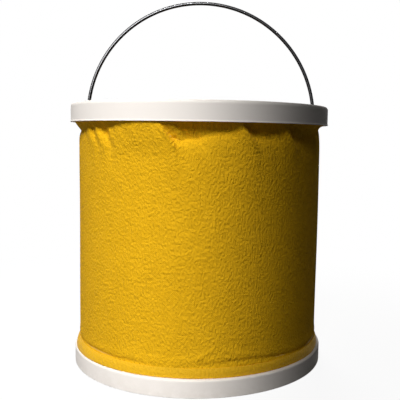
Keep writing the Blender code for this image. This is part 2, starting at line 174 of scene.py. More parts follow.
class Recipe:
    """A material under construction."""

    def __init__(self, name):
        self.material = bpy.data.materials.new(name)
        self.material.use_nodes = True
        self.tree = self.material.node_tree
        self.shader = self.tree.nodes["Principled BSDF"]

    def node(self, kind, settings, inputs, output=0):
        made = self.tree.nodes.new(kind)
        for key, value in settings.items():
            setattr(made, key, value)
        for key, value in inputs.items():
            self.feed(made.inputs[key], value)
        return Signal(self, made.outputs[output])

    def feed(self, socket, value):
        if isinstance(value, Signal):
            self.tree.links.new(value.socket, socket)
        elif hasattr(value, "__len__") and socket.type == "RGBA":
            socket.default_value = (*value, 1.0)
        else:
            socket.default_value = value

    def place(self):
        """A point on the piece in metres."""
        return self.node("ShaderNodeTexCoord", {}, {}, "Object")

    def along_surface(self):
        """Metres across and along the piece, from its own UV map."""
        uv = self.node("ShaderNodeUVMap", {"uv_map": "surface"}, {})
        return self.parts(uv)

    def parts(self, vector):
        split = self.tree.nodes.new("ShaderNodeSeparateXYZ")
        self.feed(split.inputs[0], vector)
        return [Signal(self, out) for out in split.outputs]

    def joined(self, x, y, z=0.0):
        return self.node("ShaderNodeCombineXYZ", {}, {0: x, 1: y, 2: z})

    def scaled(self, vector, factors):
        return self.node("ShaderNodeVectorMath", {"operation": "MULTIPLY"}, {0: vector, 1: factors})

    def noise(self, vector, scale, detail=2.0, roughness=0.5, distortion=0.0):
        inputs = {"Vector": vector, "Scale": scale, "Detail": detail, "Roughness": roughness,
                  "Distortion": distortion}
        return self.node("ShaderNodeTexNoise", {}, inputs)

    def attribute(self, name):
        return self.node("ShaderNodeAttribute", {"attribute_name": name}, {}, "Fac")

    def mixed(self, share, a, b):
        """Colour a where share is 0 and colour b where it is 1."""
        made = self.tree.nodes.new("ShaderNodeMix")
        made.data_type = "RGBA"
        for socket, value in zip((made.inputs[0], made.inputs[6], made.inputs[7]), (share, a, b)):
            self.feed(socket, value)
        return Signal(self, made.outputs[2])

    def bump(self, height, distance, strength=1.0, over=None):
        """A bumped normal, laid over another one if that is given."""
        inputs = {"Height": height, "Distance": distance, "Strength": strength}
        if over is not None:
            inputs["Normal"] = over
        return self.node("ShaderNodeBump", {}, inputs)

    def finish(self, **inputs):
        for key, value in inputs.items():
            self.feed(self.shader.inputs[key.replace("_", " ")], value)
        return self.material


print("recipes ready")

# %% [markdown]
# The rims are moulded polypropylene. It is white but never quite even: the colour drifts a little, the skin
# has a fine grain from the mould, handling leaves shallow scuffs, and the edges that touch the ground turn
# smooth and slightly grey. The edge share comes with each mesh as an attribute called wear. The foot rim is
# the same plastic, given a lighter white as painted light where the lamps leave it dim.

# %% Moulded plastic
RIM_WHITE = (0.895, 0.84, 0.785)
# painted light: the foot rim is the rim's own plastic, made lighter where the lamps leave it dim
FOOT_WHITE_PAINTED_LIGHT = (0.93, 0.872, 0.815)
RIM_WORN = (0.77, 0.71, 0.64)
CLAMP_WHITE = (0.76, 0.745, 0.71)
CLAMP_WORN = (0.64, 0.62, 0.57)
GRAIN_HEIGHT = 0.05 * MM
RIM_SATIN, CLAMP_SATIN = 0.48, 0.50
PLASTIC_MIRROR = 0.006           # in the photograph the rims mirror next to nothing, even at a slant


def moulded_plastic(name, fresh, worn, gloss_roughness):
    r = Recipe(name)
    place = r.place()
    drift = r.noise(place, 9.0, 3.0, 0.55)
    grain = r.noise(place, 1500.0, 2.0, 0.6)
    flow = r.noise(r.scaled(place, (14.0, 14.0, 120.0)), 1.0, 4.0, 0.6, 0.6)
    scuff_lines = r.noise(r.scaled(place, (60.0, 60.0, 900.0)), 1.0, 5.0, 0.7, 0.4)
    scuff_spots = r.noise(place, 34.0, 2.0, 0.5)
    scuffs = scuff_lines.between(0.60, 0.74) * scuff_spots.between(0.50, 0.66)
    wear = (r.attribute("wear") * r.noise(place, 130.0, 3.0, 0.6).between(0.32, 0.62)).clamped()
    dulled = (drift.between(0.35, 0.75) * 0.14 + wear * 0.40 + scuffs * 0.30).clamped()
    colour = r.mixed(dulled, fresh, worn)
    roughness = gloss_roughness + 0.10 * (flow - 0.5) + 0.20 * scuffs - 0.10 * wear
    height = grain * 0.35 + flow * 0.5 - scuffs * 0.8
    normal = r.bump(height, GRAIN_HEIGHT, 0.55)
    return r.finish(Base_Color=colour, Roughness=roughness, Normal=normal, Specular_IOR_Level=PLASTIC_MIRROR)


rim_plastic = moulded_plastic("rim_plastic", RIM_WHITE, RIM_WORN, RIM_SATIN)
foot_plastic = moulded_plastic("foot_plastic", FOOT_WHITE_PAINTED_LIGHT, RIM_WORN, RIM_SATIN)
clamp_plastic = moulded_plastic("clamp_plastic", CLAMP_WHITE, CLAMP_WORN, CLAMP_SATIN)
print("plastics", rim_plastic.name, foot_plastic.name, clamp_plastic.name)

# %% [markdown]
# The wall is yellow canvas with a soft waterproof coat. Its weave is drawn in the piece's own UV map,
# which is in metres, so the yarns keep their real pitch. Where two yarns cross, one lies on top, and a
# product of sines gives both domes. Slubs are yarns that came out thick: long thin noise in both
# directions. The coat lies uneven on the yarns, so light that strikes the cloth at a slant shows small
# lumps a few millimetres across.

# %% Coated canvas
YARN_PITCH = 0.95 * MM
CANVAS_YELLOW = (0.90, 0.494, 0.012)
CANVAS_DEEP = (0.715, 0.379, 0.007)
CANVAS_PALE = (0.90, 0.52, 0.030)
LUMP_HEIGHT = 1.9 * MM
WEAVE_DEPTH = 0.12 * MM
CRINKLE_DEPTH = 0.55 * MM
LUMPS_ACROSS, LUMPS_ALONG = 590.0, 330.0  # noise cells in a metre
MOTTLE_PITCH = 210.0
CANVAS_ROUGHNESS, CANVAS_SHEEN = 0.68, 0.03
CANVAS_MIRROR = 0.012
SHEEN_YELLOW = (1.0, 0.8, 0.4)


def weave_height(r, u, v, pitch):
    """Height of a plain weave, from 0 between the yarns to 1 on top of them, with a faint diagonal."""
    across, along = u * (pi / pitch), v * (pi / pitch)
    wave_u, wave_v = across.sine(), along.sine()
    dome_u, dome_v = abs(wave_u), abs(wave_v)
    warp_on_top = (wave_u * wave_v).above(0.0)
    warp = (dome_u ** 0.5) * dome_v
    weft = (dome_v ** 0.5) * dome_u
    diagonal = ((across + along) * (2.0 / 3.0)).sine()
    return warp * (warp_on_top * 1.35) + weft * (1.0 - warp_on_top) + 0.22 * diagonal, warp_on_top


def coat_lumps(r, u, v):
    return r.noise(r.joined(u * LUMPS_ACROSS, v * LUMPS_ALONG, 3.0), 1.0, 2.0, 0.5, 0.3)


def coat_mottle(r, u, v):
    return r.noise(r.joined(u * MOTTLE_PITCH, v * MOTTLE_PITCH), 1.0, 3.0, 0.7)


def canvas(name):
    r = Recipe(name)
    u, v, _ = r.along_surface()
    place = r.place()
    weave, warp_on_top = weave_height(r, u, v, YARN_PITCH)
    slub_across = r.noise(r.joined(u * 90.0, v * 1050.0), 1.0, 2.0, 0.6)
    slub_along = r.noise(r.joined(u * 1050.0, v * 90.0, 7.0), 1.0, 2.0, 0.6)
    slubs = slub_across + slub_along - 1.0
    crinkle = r.noise(r.joined(u * 120.0, v * 95.0), 1.0, 4.0, 0.62, 1.4)
    patches = r.noise(place, 16.0, 3.0, 0.6)
    coat_wear = r.noise(place, 260.0, 3.0, 0.65)
    weave_shade_patches = r.noise(place, 70.0, 2.0, 0.5).between(0.38, 0.60)
    # Darker between the yarns and on every other crossing: painted shade of the weave, strongest in patches.
    # The patches, slubs and mottle are the canvas's own uneven tone.
    tone_and_painted_shade = (0.20 * patches.between(0.30, 0.75) + 0.12 * (1.0 - weave) + 0.5 * slubs
              + 0.45 * (coat_mottle(r, u, v) - 0.42) + (0.25 + 0.30 * weave_shade_patches) * warp_on_top).clamped()
    colour = r.mixed(tone_and_painted_shade, CANVAS_YELLOW, CANVAS_DEEP)
    colour = r.mixed((coat_wear.between(0.56, 0.78) * 0.30).clamped(), colour, CANVAS_PALE)
    woven = r.bump(weave + 0.7 * slubs, WEAVE_DEPTH, 0.8)
    lumpy = r.bump(coat_lumps(r, u, v), LUMP_HEIGHT, 1.0, woven)
    crinkled = r.bump(crinkle, CRINKLE_DEPTH, 0.35, lumpy)
    rough = CANVAS_ROUGHNESS + 0.10 * (crinkle - 0.5) + 0.08 * slubs
    return r.finish(Base_Color=colour, Roughness=rough, Normal=crinkled, Specular_IOR_Level=CANVAS_MIRROR,
                    Sheen_Weight=CANVAS_SHEEN, Sheen_Roughness=0.5, Sheen_Tint=SHEEN_YELLOW)


wall_canvas = canvas("yellow_canvas")
print("canvas", wall_canvas.name, "yarn pitch", YARN_PITCH)

# %% [markdown]
# Inside, the canvas carries the thick side of its coat. The yarns only show through it as soft dimples, it
# is smoother and a little paler, and it has a wet look at a low angle.

# %% Inner coat
COAT_YELLOW = (0.80, 0.46, 0.045)
COAT_DEEP = (0.68, 0.36, 0.022)
DIMPLE_DEPTH = 0.03 * MM
COAT_RIPPLE = 0.4 * MM


def inner_coat(name):
    r = Recipe(name)
    u, v, _ = r.along_surface()
    dimples, _ = weave_height(r, u, v, YARN_PITCH)
    cloudy = r.noise(r.place(), 42.0, 4.0, 0.6)
    ripple = r.noise(r.joined(u * 150.0, v * 60.0), 1.0, 3.0, 0.6, 0.8)
    colour = r.mixed(cloudy.between(0.30, 0.72) * 0.6, COAT_YELLOW, COAT_DEEP)
    rough = 0.40 + 0.16 * (cloudy - 0.5)
    rippled = r.bump(ripple, COAT_RIPPLE, 0.3, r.bump(dimples, DIMPLE_DEPTH, 0.6))
    return r.finish(Base_Color=colour, Roughness=rough, Normal=rippled, Specular_IOR_Level=0.35)


coated_inside = inner_coat("coated_inside")
print("coat", coated_inside.name)

# %% [markdown]
# The binding is a narrow woven tape. Its fine ribs run across its width, which is along v in its UV
# map, and its yarn has a little more shine than the canvas. The sealing tapes inside are smooth
# film over the same yellow.

# %% Tapes
TAPE_RIB = 0.7 * MM
TAPE_YELLOW = (0.80, 0.448, 0.012)
TAPE_DEEP = (0.63, 0.338, 0.007)
RIB_HEIGHT = 0.10 * MM
TAPE_LUMP_HEIGHT = 0.6 * LUMP_HEIGHT
PRESS_PITCH = 2.2 * MM           # the sealing film keeps the print of its hot roller
PRESS_DEPTH = 0.06 * MM


def ribbed_tape(name):
    r = Recipe(name)
    u, v, _ = r.along_surface()
    ribs = abs((u * (pi / TAPE_RIB)).sine())
    threads = abs((v * (pi / (TAPE_RIB * 0.6))).sine())
    uneven = r.noise(r.joined(u * 300.0, v * 900.0), 1.0, 2.0, 0.5)
    patches = r.noise(r.place(), 30.0, 3.0, 0.6)
    mottle = coat_mottle(r, u, v)
    # Darker between the ribs is painted shade; the patches, unevenness and mottle are the tape's own tone.
    tone_and_painted_shade = (0.16 * (1.0 - ribs) + 0.4 * (patches - 0.35) + 0.4 * (uneven - 0.45)
              + 0.6 * (mottle - 0.40)).clamped()
    colour = r.mixed(tone_and_painted_shade, TAPE_YELLOW, TAPE_DEEP)
    height = 0.5 * ribs + 0.2 * threads + 0.8 * uneven + 2.0 * mottle
    normal = r.bump(coat_lumps(r, u, v), TAPE_LUMP_HEIGHT, 1.0, r.bump(height, RIB_HEIGHT, 0.8))
    return r.finish(Base_Color=colour, Roughness=0.58 + 0.1 * (uneven - 0.5), Normal=normal,
                    Specular_IOR_Level=0.12, Sheen_Weight=0.06, Sheen_Roughness=0.5)


def sealing_film(name):
    r = Recipe(name)
    u, v, _ = r.along_surface()
    pressed = abs((u * (pi / PRESS_PITCH)).sine()) * abs((v * (pi / PRESS_PITCH)).sine())
    cloudy = r.noise(r.place(), 70.0, 4.0, 0.6)
    colour = r.mixed(cloudy.between(0.3, 0.75) * 0.7, COAT_YELLOW, TAPE_DEEP)
    normal = r.bump(pressed * 0.6 + cloudy, PRESS_DEPTH, 0.6)
    rough = 0.30 + 0.15 * (cloudy - 0.5)
    return r.finish(Base_Color=colour, Roughness=rough, Normal=normal, Specular_IOR_Level=0.4)


binding_tape = ribbed_tape("binding_tape")
seam_film = sealing_film("seam_film")
print("tapes", binding_tape.name, seam_film.name)

# %% [markdown]
# The bail is drawn steel wire. Its near-black colour is painted shade: it stands for dark surroundings
# mirrored in the wire, since the studio shows white in metal. Drawing leaves hair lines along the wire, so
# the noise is stretched along u, and handling leaves dull spots. It mirrors a lamp as one long highlight.

# %% Steel wire
# near-black colours: painted shade for dark surroundings mirrored in the bail; the duller one also marks
# handling spots
STEEL_PAINTED_SHADE = (0.014, 0.014, 0.0144)
STEEL_DULL_PAINTED_SHADE = (0.006, 0.006, 0.0057)
GALVANISED = (0.42, 0.43, 0.44)
GALVANISED_DARK = (0.24, 0.24, 0.24)
EDGE_PAINTED_SHADE = (0.2, 0.2, 0.2)      # painted shade at the edges: the tint darkens what the wires mirror at a slant
HAIR_LINES = 1500.0              # noise cells in a metre
HAIR_LINE_DEPTH = 0.004 * MM
BAIL_ROUGHNESS, HOOP_ROUGHNESS = 0.27, 0.38


def drawn_wire(name, bright, dark, base_roughness, on_surface):
    r = Recipe(name)
    place = r.place()
    if on_surface:
        u, v, _ = r.along_surface()
        lines = r.noise(r.joined(u * 120.0, v * 4200.0), 1.0, 3.0, 0.6)
    else:
        lines = r.noise(r.scaled(place, (HAIR_LINES,) * 3), 1.0, 2.0, 0.6)
    spots = r.noise(place, 180.0, 4.0, 0.65)
    dull = spots.between(0.56, 0.74)
    colour = r.mixed((dull * 0.55 + 0.25 * (lines - 0.4)).clamped(), bright, dark)
    rough = base_roughness + 0.08 * (lines - 0.5) + 0.14 * dull
    normal = r.bump(lines + 0.6 * spots, HAIR_LINE_DEPTH, 0.10)
    return r.finish(Base_Color=colour, Roughness=rough, Metallic=1.0, Normal=normal, Specular_Tint=EDGE_PAINTED_SHADE)


bail_steel = drawn_wire("bail_steel", STEEL_PAINTED_SHADE, STEEL_DULL_PAINTED_SHADE, BAIL_ROUGHNESS, True)
hoop_steel = drawn_wire("hoop_steel", GALVANISED, GALVANISED_DARK, HOOP_ROUGHNESS, False)
print("wires", bail_steel.name, hoop_steel.name)

# %% [markdown]
# Sewing thread is twisted from plies. A slanted wave in Object coordinates stands for the twist.

# %% Sewing thread
THREAD_YELLOW = (0.86, 0.50, 0.04)
THREAD_DEEP = (0.58, 0.30, 0.015)
TWIST_PITCH = 0.35 * MM
PLY_HEIGHT = 0.05 * MM


def sewing_thread(name):
    r = Recipe(name)
    x, y, z = r.parts(r.place())
    twist = abs(((x + y + 1.7 * z) * (pi / TWIST_PITCH)).sine())
    fuzz = r.noise(r.place(), 2400.0, 2.0, 0.6)
    # Darker in the grooves between the plies: painted shade.
    colour = r.mixed((0.6 * (1.0 - twist) + 0.5 * (fuzz - 0.5)).clamped(), THREAD_YELLOW, THREAD_DEEP)
    normal = r.bump(twist + 0.4 * fuzz, PLY_HEIGHT, 0.6)
    rough = 0.55 + 0.2 * (fuzz - 0.5)
    return r.finish(Base_Color=colour, Roughness=rough, Normal=normal, Specular_IOR_Level=0.3)


thread = sewing_thread("sewing_thread")
print("thread", thread.name)

# %% [markdown]
# Almost every rigid piece is turned, so one helper spins an outline of radius and height round the axis. A
# real corner is never knife sharp: corners are given with a fillet, and two more points beside each fillet
# keep the smooth shading off the flats. Each mesh gets a UV map in metres and the wear attribute.

# %% Outlines
FILLET_STEPS = 4
FILLET_SHARE = 0.45              # of a side at most goes to a fillet
GUARD_REACH, GUARD_SHARE = 0.35, 0.04  # a guard point's distance, as shares of the fillet and of the side
ROUND_STEPS = 240                # sides of the turned pieces


def arc(centre, radius, start, end, steps):
    """Points on an arc, with its angles in degrees from +r towards +z."""
    turns = np.radians(np.linspace(start, end, steps + 1))
    return [(centre[0] + radius * cos(t), centre[1] + radius * sin(t)) for t in turns]


def filleted(corners, steps=FILLET_STEPS):
    """Round the corners (r, z, fillet) of a closed outline."""
    points = []
    count = len(corners)
    for i, (r, z, fillet) in enumerate(corners):
        here = Vector((r, z))
        back = Vector(corners[i - 1][:2]) - here
        ahead = Vector(corners[(i + 1) % count][:2]) - here
        half = back.angle(ahead) / 2
        reach = min(fillet / np.tan(half), FILLET_SHARE * back.length, FILLET_SHARE * ahead.length)
        radius = reach * np.tan(half)
        middle = here + (back.normalized() + ahead.normalized()).normalized() * radius / sin(half)
        first, last = here + back.normalized() * reach, here + ahead.normalized() * reach
        guard = min(GUARD_REACH * reach, GUARD_SHARE * back.length)
        points.append(tuple(first + back.normalized() * guard))
        a, b = first - middle, last - middle
        sweep = a.angle_signed(b)
        for k in range(steps + 1):
            spoke = a.copy()
            spoke.rotate(Matrix.Rotation(-sweep * k / steps, 2))
            points.append(tuple(middle + spoke))
        guard = min(GUARD_REACH * reach, GUARD_SHARE * ahead.length)
        points.append(tuple(last + ahead.normalized() * guard))
    return points


print("outline helpers ready")

# %% Turned meshes
def link_mesh(name, mesh, *materials):
    made = bpy.data.objects.new(name, mesh)
    for material in materials:
        mesh.materials.append(material)
    bpy.context.scene.collection.objects.link(made)
    return made


SHARP_DEGREES = 40


def shade(mesh):
    mesh.shade_smooth()
    mesh.set_sharp_from_angle(angle=radians(SHARP_DEGREES))


def mesh_of(name, bm):
    """Turn a bmesh into a mesh and let it go."""
    mesh = bpy.data.meshes.new(name)
    bm.to_mesh(mesh)
    bm.free()
    return mesh


def grid_mesh(name, points, surface, materials, round_about=True, second_from=None):
    """A closed skin from a grid of points, where surface(column, row) gives the UV in metres.

    points has the shape (columns, rows, 3). Rows close on themselves, and so do columns if round_about
    is set. Faces in rows from second_from onwards take the second material."""
    columns, rows = points.shape[:2]
    bm = bmesh.new()
    layer = bm.loops.layers.uv.new("surface")
    verts = [[bm.verts.new(p) for p in column] for column in points]
    spans = columns if round_about else columns - 1
    for i in range(spans):
        j = (i + 1) % columns
        for k in range(rows):
            m = (k + 1) % rows
            face = bm.faces.new((verts[i][k], verts[j][k], verts[j][m], verts[i][m]))
            corners = ((i, k), (i + 1, k), (i + 1, k + 1), (i, k + 1))
            for loop, (column, row) in zip(face.loops, corners):
                loop[layer].uv = surface(column, row)
            if second_from is not None and k >= second_from:
                face.material_index = 1
    if not round_about:
        bm.faces.new(verts[0])
        bm.faces.new(verts[-1][::-1])
    if bm.calc_volume(signed=True) < 0:
        bmesh.ops.reverse_faces(bm, faces=bm.faces)
    mesh = mesh_of(name, bm)
    shade(mesh)
    return link_mesh(name, mesh, *materials)


def set_wear(piece, marks):
    """Fill the wear attribute: 1 at each marked point (r, z, reach) and less away from it."""
    mesh = piece.data
    places = np.zeros(len(mesh.vertices) * 3)
    mesh.vertices.foreach_get("co", places)
    places = places.reshape(-1, 3)
    reach_out = np.hypot(places[:, 0], places[:, 1])
    wear = np.zeros(len(places))
    for r, z, reach in marks:
        wear = np.maximum(wear, np.exp(-((reach_out - r) ** 2 + (places[:, 2] - z) ** 2) / reach ** 2))
    attribute = mesh.attributes.new("wear", "FLOAT", "POINT")
    attribute.data.foreach_set("value", wear.astype(np.float32))


def turned(name, outline, materials, steps=ROUND_STEPS):
    """Spin a closed outline (r, z) round the Z axis."""
    turns = tau * np.arange(steps) / steps
    flat = np.array(outline)
    lengths = np.concatenate([[0], np.cumsum(np.linalg.norm(np.roll(flat, -1, 0) - flat, axis=1))])
    middle = flat[:, 0].mean()
    points = np.stack([np.outer(np.cos(turns), flat[:, 0]), np.outer(np.sin(turns), flat[:, 0]),
                       np.tile(flat[:, 1], (len(turns), 1))], axis=2)

    def surface(column, row):
        return (tau * column / steps * middle, lengths[row])

    return grid_mesh(name, points, surface, materials)


def apply_modifiers(piece):
    """Turn what the modifiers make into a plain mesh and take them off."""
    bpy.context.view_layer.update()
    shaped = bpy.data.meshes.new_from_object(piece.evaluated_get(bpy.context.evaluated_depsgraph_get()))
    piece.modifiers.clear()
    piece.data = shaped


def report(piece):
    faces = piece.data.polygons
    print(piece.name, len(faces), "faces,", sum(len(f.vertices) - 2 for f in faces), "triangles")


print("turning helpers ready")

# %% [markdown]
# Things that repeat round the bucket are placed by Geometry Nodes: the tree takes a ring of points, turns
# an instance of one small part to face outwards at each, and makes it real at the end. The same tree serves
# the snap windows' cutters and the lugs that seat in them.

# %% A ring of copies with Geometry Nodes
def new_tree(name, inputs):
    """A Geometry Nodes tree with a geometry in and out, and inputs as {name: (type, value)}."""
    tree = bpy.data.node_groups.new(name, "GeometryNodeTree")
    tree.interface.new_socket("Geometry", in_out="INPUT", socket_type="NodeSocketGeometry")
    for title, (kind, value) in inputs.items():
        socket = tree.interface.new_socket(title, in_out="INPUT", socket_type=kind)
        if value is not None:
            socket.default_value = value
    tree.interface.new_socket("Geometry", in_out="OUTPUT", socket_type="NodeSocketGeometry")
    return tree


def tree_node(tree, kind, settings, inputs, output=0):
    """Add a node, fill or link its inputs, and hand back one of its outputs."""
    made = tree.nodes.new(kind)
    for key, value in settings.items():
        setattr(made, key, value)
    for key, value in inputs.items():
        socket = made.inputs[key]
        if isinstance(value, bpy.types.NodeSocket):
            tree.links.new(value, socket)
        else:
            socket.default_value = value
    return made.outputs[output]


def end_tree(tree, geometry, material):
    """Send the geometry out of the tree with its material on."""
    painted = tree_node(tree, "GeometryNodeSetMaterial", {}, {"Geometry": geometry, "Material": material})
    leave = tree.nodes.new("NodeGroupOutput")
    tree.links.new(painted, leave.inputs[0])
    return tree


def run_tree(piece, tree, values):
    """Give a piece the tree as a modifier, set its inputs by identifier, and keep the plain mesh it makes."""
    modifier = piece.modifiers.new(tree.name, "NODES")
    modifier.node_group = tree
    names = {item.name: item.identifier for item in tree.interface.items_tree if item.in_out == "INPUT"}
    for title, value in values.items():
        modifier[names[title]] = value
    apply_modifiers(piece)


def ring_tree():
    tree = new_tree("ring_of_copies", {
        "Part": ("NodeSocketObject", None), "Count": ("NodeSocketInt", 12),
        "First turn": ("NodeSocketFloat", 0.0), "Material": ("NodeSocketMaterial", None)})
    enter = tree.nodes.new("NodeGroupInput").outputs
    points = tree_node(tree, "GeometryNodePoints", {}, {"Count": enter["Count"]})
    index = tree_node(tree, "GeometryNodeInputIndex", {}, {})
    share = tree_node(tree, "ShaderNodeMath", {"operation": "DIVIDE"}, {0: index, 1: enter["Count"]})
    turn = tree_node(tree, "ShaderNodeMath", {"operation": "MULTIPLY_ADD"},
                     {0: share, 1: tau, 2: enter["First turn"]})
    spin = tree_node(tree, "ShaderNodeCombineXYZ", {}, {"Z": turn})
    part = tree_node(tree, "GeometryNodeObjectInfo", {}, {"Object": enter["Part"]}, "Geometry")
    copies = tree_node(tree, "GeometryNodeInstanceOnPoints", {},
                       {"Points": points, "Instance": part, "Rotation": spin})
    real = tree_node(tree, "GeometryNodeRealizeInstances", {}, {0: copies})
    return end_tree(tree, real, enter["Material"])


def ring_of(name, part, count, first_turn, material):
    """Copies of a part that stands at its place over +X, turned round the axis."""
    host = link_mesh(name, bpy.data.meshes.new(name))
    run_tree(host, RING_TREE, {"Part": part, "Count": count, "First turn": first_turn, "Material": material})
    bpy.data.objects.remove(part)
    return host


RING_TREE = ring_tree()
print("tree", RING_TREE.name, "with", len(RING_TREE.nodes), "nodes")

# %% Small parts of a ring
def block(name, low, high, bevel):
    """A box between two corners with its edges rounded."""
    bm = bmesh.new()
    bmesh.ops.create_cube(bm, size=1.0)
    size = Vector(high) - Vector(low)
    bmesh.ops.scale(bm, verts=bm.verts, vec=size)
    bmesh.ops.translate(bm, verts=bm.verts, vec=(Vector(high) + Vector(low)) / 2)
    bmesh.ops.bevel(bm, geom=bm.edges, offset=bevel, segments=2, profile=0.5, affect="EDGES")
    return link_mesh(name, mesh_of(name, bm))


def prism(name, outline, half_width, bevel):
    """An outline of (r, z) given a width across the radius, over +X."""
    bm = bmesh.new()
    near = bm.faces.new([bm.verts.new((r, -half_width, z)) for r, z in outline])
    made = bmesh.ops.extrude_face_region(bm, geom=[near])["geom"]
    moved = [item for item in made if isinstance(item, bmesh.types.BMVert)]
    bmesh.ops.translate(bm, verts=moved, vec=(0, 2 * half_width, 0))
    bmesh.ops.recalc_face_normals(bm, faces=bm.faces)
    bmesh.ops.bevel(bm, geom=bm.edges, offset=bevel, segments=2, profile=0.5, affect="EDGES")
    mesh = mesh_of(name, bm)
    shade(mesh)
    return link_mesh(name, mesh)


print("small part helpers ready")

# %% [markdown]
# The top rim is an upside-down channel: a skirt outside, a rounded shoulder, a flat top and an inner
# wall with a ledge at its foot. A thin bead runs round the skirt's lower edge, as moulders add where a
# wall would look wavy, and it catches the light as one bright line. Twelve windows in the inner wall
# take the clamp ring's catches.

# %% Top rim
SKIRT_WALL = 2.0 * MM
FLANGE_WALL = 2.2 * MM
SHOULDER_RADIUS = 3.3 * MM
BEAD_PROUD = 0.45 * MM
BEAD_EDGE = 0.5 * MM             # height of the bead's upright edge
BEAD_SLOPE = 1.2 * MM            # height of the slope above it, which faces up a little
MOUTH_RADIUS = 122.22 * MM
INNER_WALL = 1.8 * MM
MOUTH_ROUND = 1.1 * MM
LEDGE_RADIUS = 119.42 * MM
LEDGE_WALL = 2.0 * MM
SOFT_EDGE = 0.35 * MM
WINDOW_COUNT = 12
WINDOW_LOW, WINDOW_HIGH = 255.5 * MM, 258.6 * MM
WINDOW_HALF_WIDTH = 6.9 * MM
WINDOW_FIRST_TURN = tau / WINDOW_COUNT / 2
BORE_RADIUS = 2.15 * MM
BORE_SIDES = 48
OVERRUN = 1.0 * MM               # how far a cutter passes what it cuts
RIM_FILLET_STEPS = 7

ledge_top = PIVOT_Z - WIRE_RADIUS - CLEARANCE
ledge_bottom = ledge_top - LEDGE_WALL
skirt_inside = RIM_RADIUS - SKIRT_WALL
inner_wall_back = MOUTH_RADIUS + INNER_WALL
rim_roof = RIM_TOP - FLANGE_WALL
band_radius = RIM_RADIUS - BEAD_PROUD
rim_corners = [
    (band_radius, RIM_TOP, SHOULDER_RADIUS),
    (band_radius, RIM_BOTTOM + BEAD_EDGE + BEAD_SLOPE, 0.15 * MM),
    (RIM_RADIUS, RIM_BOTTOM + BEAD_EDGE, 0.2 * MM),
    (RIM_RADIUS, RIM_BOTTOM, 0.2 * MM),
    (skirt_inside, RIM_BOTTOM, 0.3 * MM),
    (skirt_inside, rim_roof, SKIRT_WALL),
    (inner_wall_back, rim_roof, SOFT_EDGE),
    (inner_wall_back, ledge_bottom, SOFT_EDGE),
    (LEDGE_RADIUS, ledge_bottom, SOFT_EDGE),
    (LEDGE_RADIUS, ledge_top, 0.5 * MM),
    (MOUTH_RADIUS, ledge_top, SOFT_EDGE),
    (MOUTH_RADIUS, RIM_TOP, MOUTH_ROUND),
]
top_rim = turned("top_rim_moulding", filleted(rim_corners, RIM_FILLET_STEPS), [rim_plastic])
report(top_rim)

# %% Windows and bores of the top rim
def cut(piece, *cutters):
    """Take cutters away from a piece for good."""
    for cutter in cutters:
        modifier = piece.modifiers.new(cutter.name, "BOOLEAN")
        modifier.operation = "DIFFERENCE"
        modifier.object = cutter
    apply_modifiers(piece)
    for cutter in cutters:
        bpy.data.objects.remove(cutter)
    shade(piece.data)


window = block("window_cutter", (MOUTH_RADIUS - 2 * MM, -WINDOW_HALF_WIDTH, WINDOW_LOW),
               (inner_wall_back + 0.5 * MM, WINDOW_HALF_WIDTH, WINDOW_HIGH), 0.5 * MM)
windows = ring_of("window_cutters", window, WINDOW_COUNT, WINDOW_FIRST_TURN, rim_plastic)


def rod(name, radius, length, height):
    bm = bmesh.new()
    place = Matrix.Translation((0, 0, height)) @ Matrix.Rotation(pi / 2, 4, "Y")
    bmesh.ops.create_cone(bm, cap_ends=True, segments=BORE_SIDES, radius1=radius, radius2=radius,
                          depth=length, matrix=place)
    return link_mesh(name, mesh_of(name, bm), rim_plastic)


bores = rod("bore_cutter", BORE_RADIUS, 2 * (inner_wall_back + OVERRUN), PIVOT_Z)
cut(top_rim, windows, bores)
set_wear(top_rim, [(RIM_RADIUS, RIM_BOTTOM, 1.3 * MM), (band_radius - MM, RIM_TOP - MM, 1.5 * MM),
                   (MOUTH_RADIUS, RIM_TOP, 1.2 * MM), (LEDGE_RADIUS, ledge_top, 1.2 * MM)])
report(top_rim)

# %% [markdown]
# The clamp ring snaps up into the channel and traps the hooped hem. From inside the bucket its
# catches show through the windows, so its fingers are modelled and not only hinted at. A finger is
# an outline with a wedge.

# %% Top clamp ring
CLAMP_LEG = 1.6 * MM
FOOT_WALL = 1.8 * MM
COLLAR = 1.4 * MM
CATCH_LOW, CATCH_HIGH = 255.8 * MM, 258.3 * MM
CATCH_REACH = 1.2 * MM
FINGER_HALF_WIDTH = 6.3 * MM

clamp_foot_radius = clamp_high.x
clamp_bottom = clamp_low.z
clamp_leg_inside = inner_wall_back + CLEARANCE
clamp_leg_outside = clamp_leg_inside + CLAMP_LEG
foot_top = clamp_bottom + FOOT_WALL
clamp_corners = [
    (clamp_leg_inside, clamp_bottom, 0.3 * MM),
    (clamp_foot_radius, clamp_bottom, 0.4 * MM),
    (clamp_foot_radius, foot_top, 0.4 * MM),
    (clamp_leg_outside, foot_top, 0.3 * MM),
    (clamp_leg_outside, foot_top + COLLAR / 3, 0.2 * MM),
    (clamp_leg_inside, foot_top + COLLAR / 3, 0.2 * MM),
]
top_clamp = turned("top_clamp_moulding", filleted(clamp_corners), [clamp_plastic])
finger_outline = [
    (clamp_leg_inside, foot_top - FOOT_WALL / 2), (clamp_leg_outside, foot_top - FOOT_WALL / 2),
    (clamp_leg_outside, CATCH_HIGH), (clamp_leg_inside, CATCH_HIGH),
    (clamp_leg_inside - CATCH_REACH, (CATCH_LOW + CATCH_HIGH) / 2),
    (clamp_leg_inside - CATCH_REACH, CATCH_LOW), (clamp_leg_inside, CATCH_LOW),
]
finger = prism("clamp_finger", finger_outline, FINGER_HALF_WIDTH, 0.15 * MM)
top_fingers = ring_of("top_clamp_fingers", finger, WINDOW_COUNT, WINDOW_FIRST_TURN, clamp_plastic)
set_wear(top_clamp, [(clamp_foot_radius, clamp_bottom, MM)])
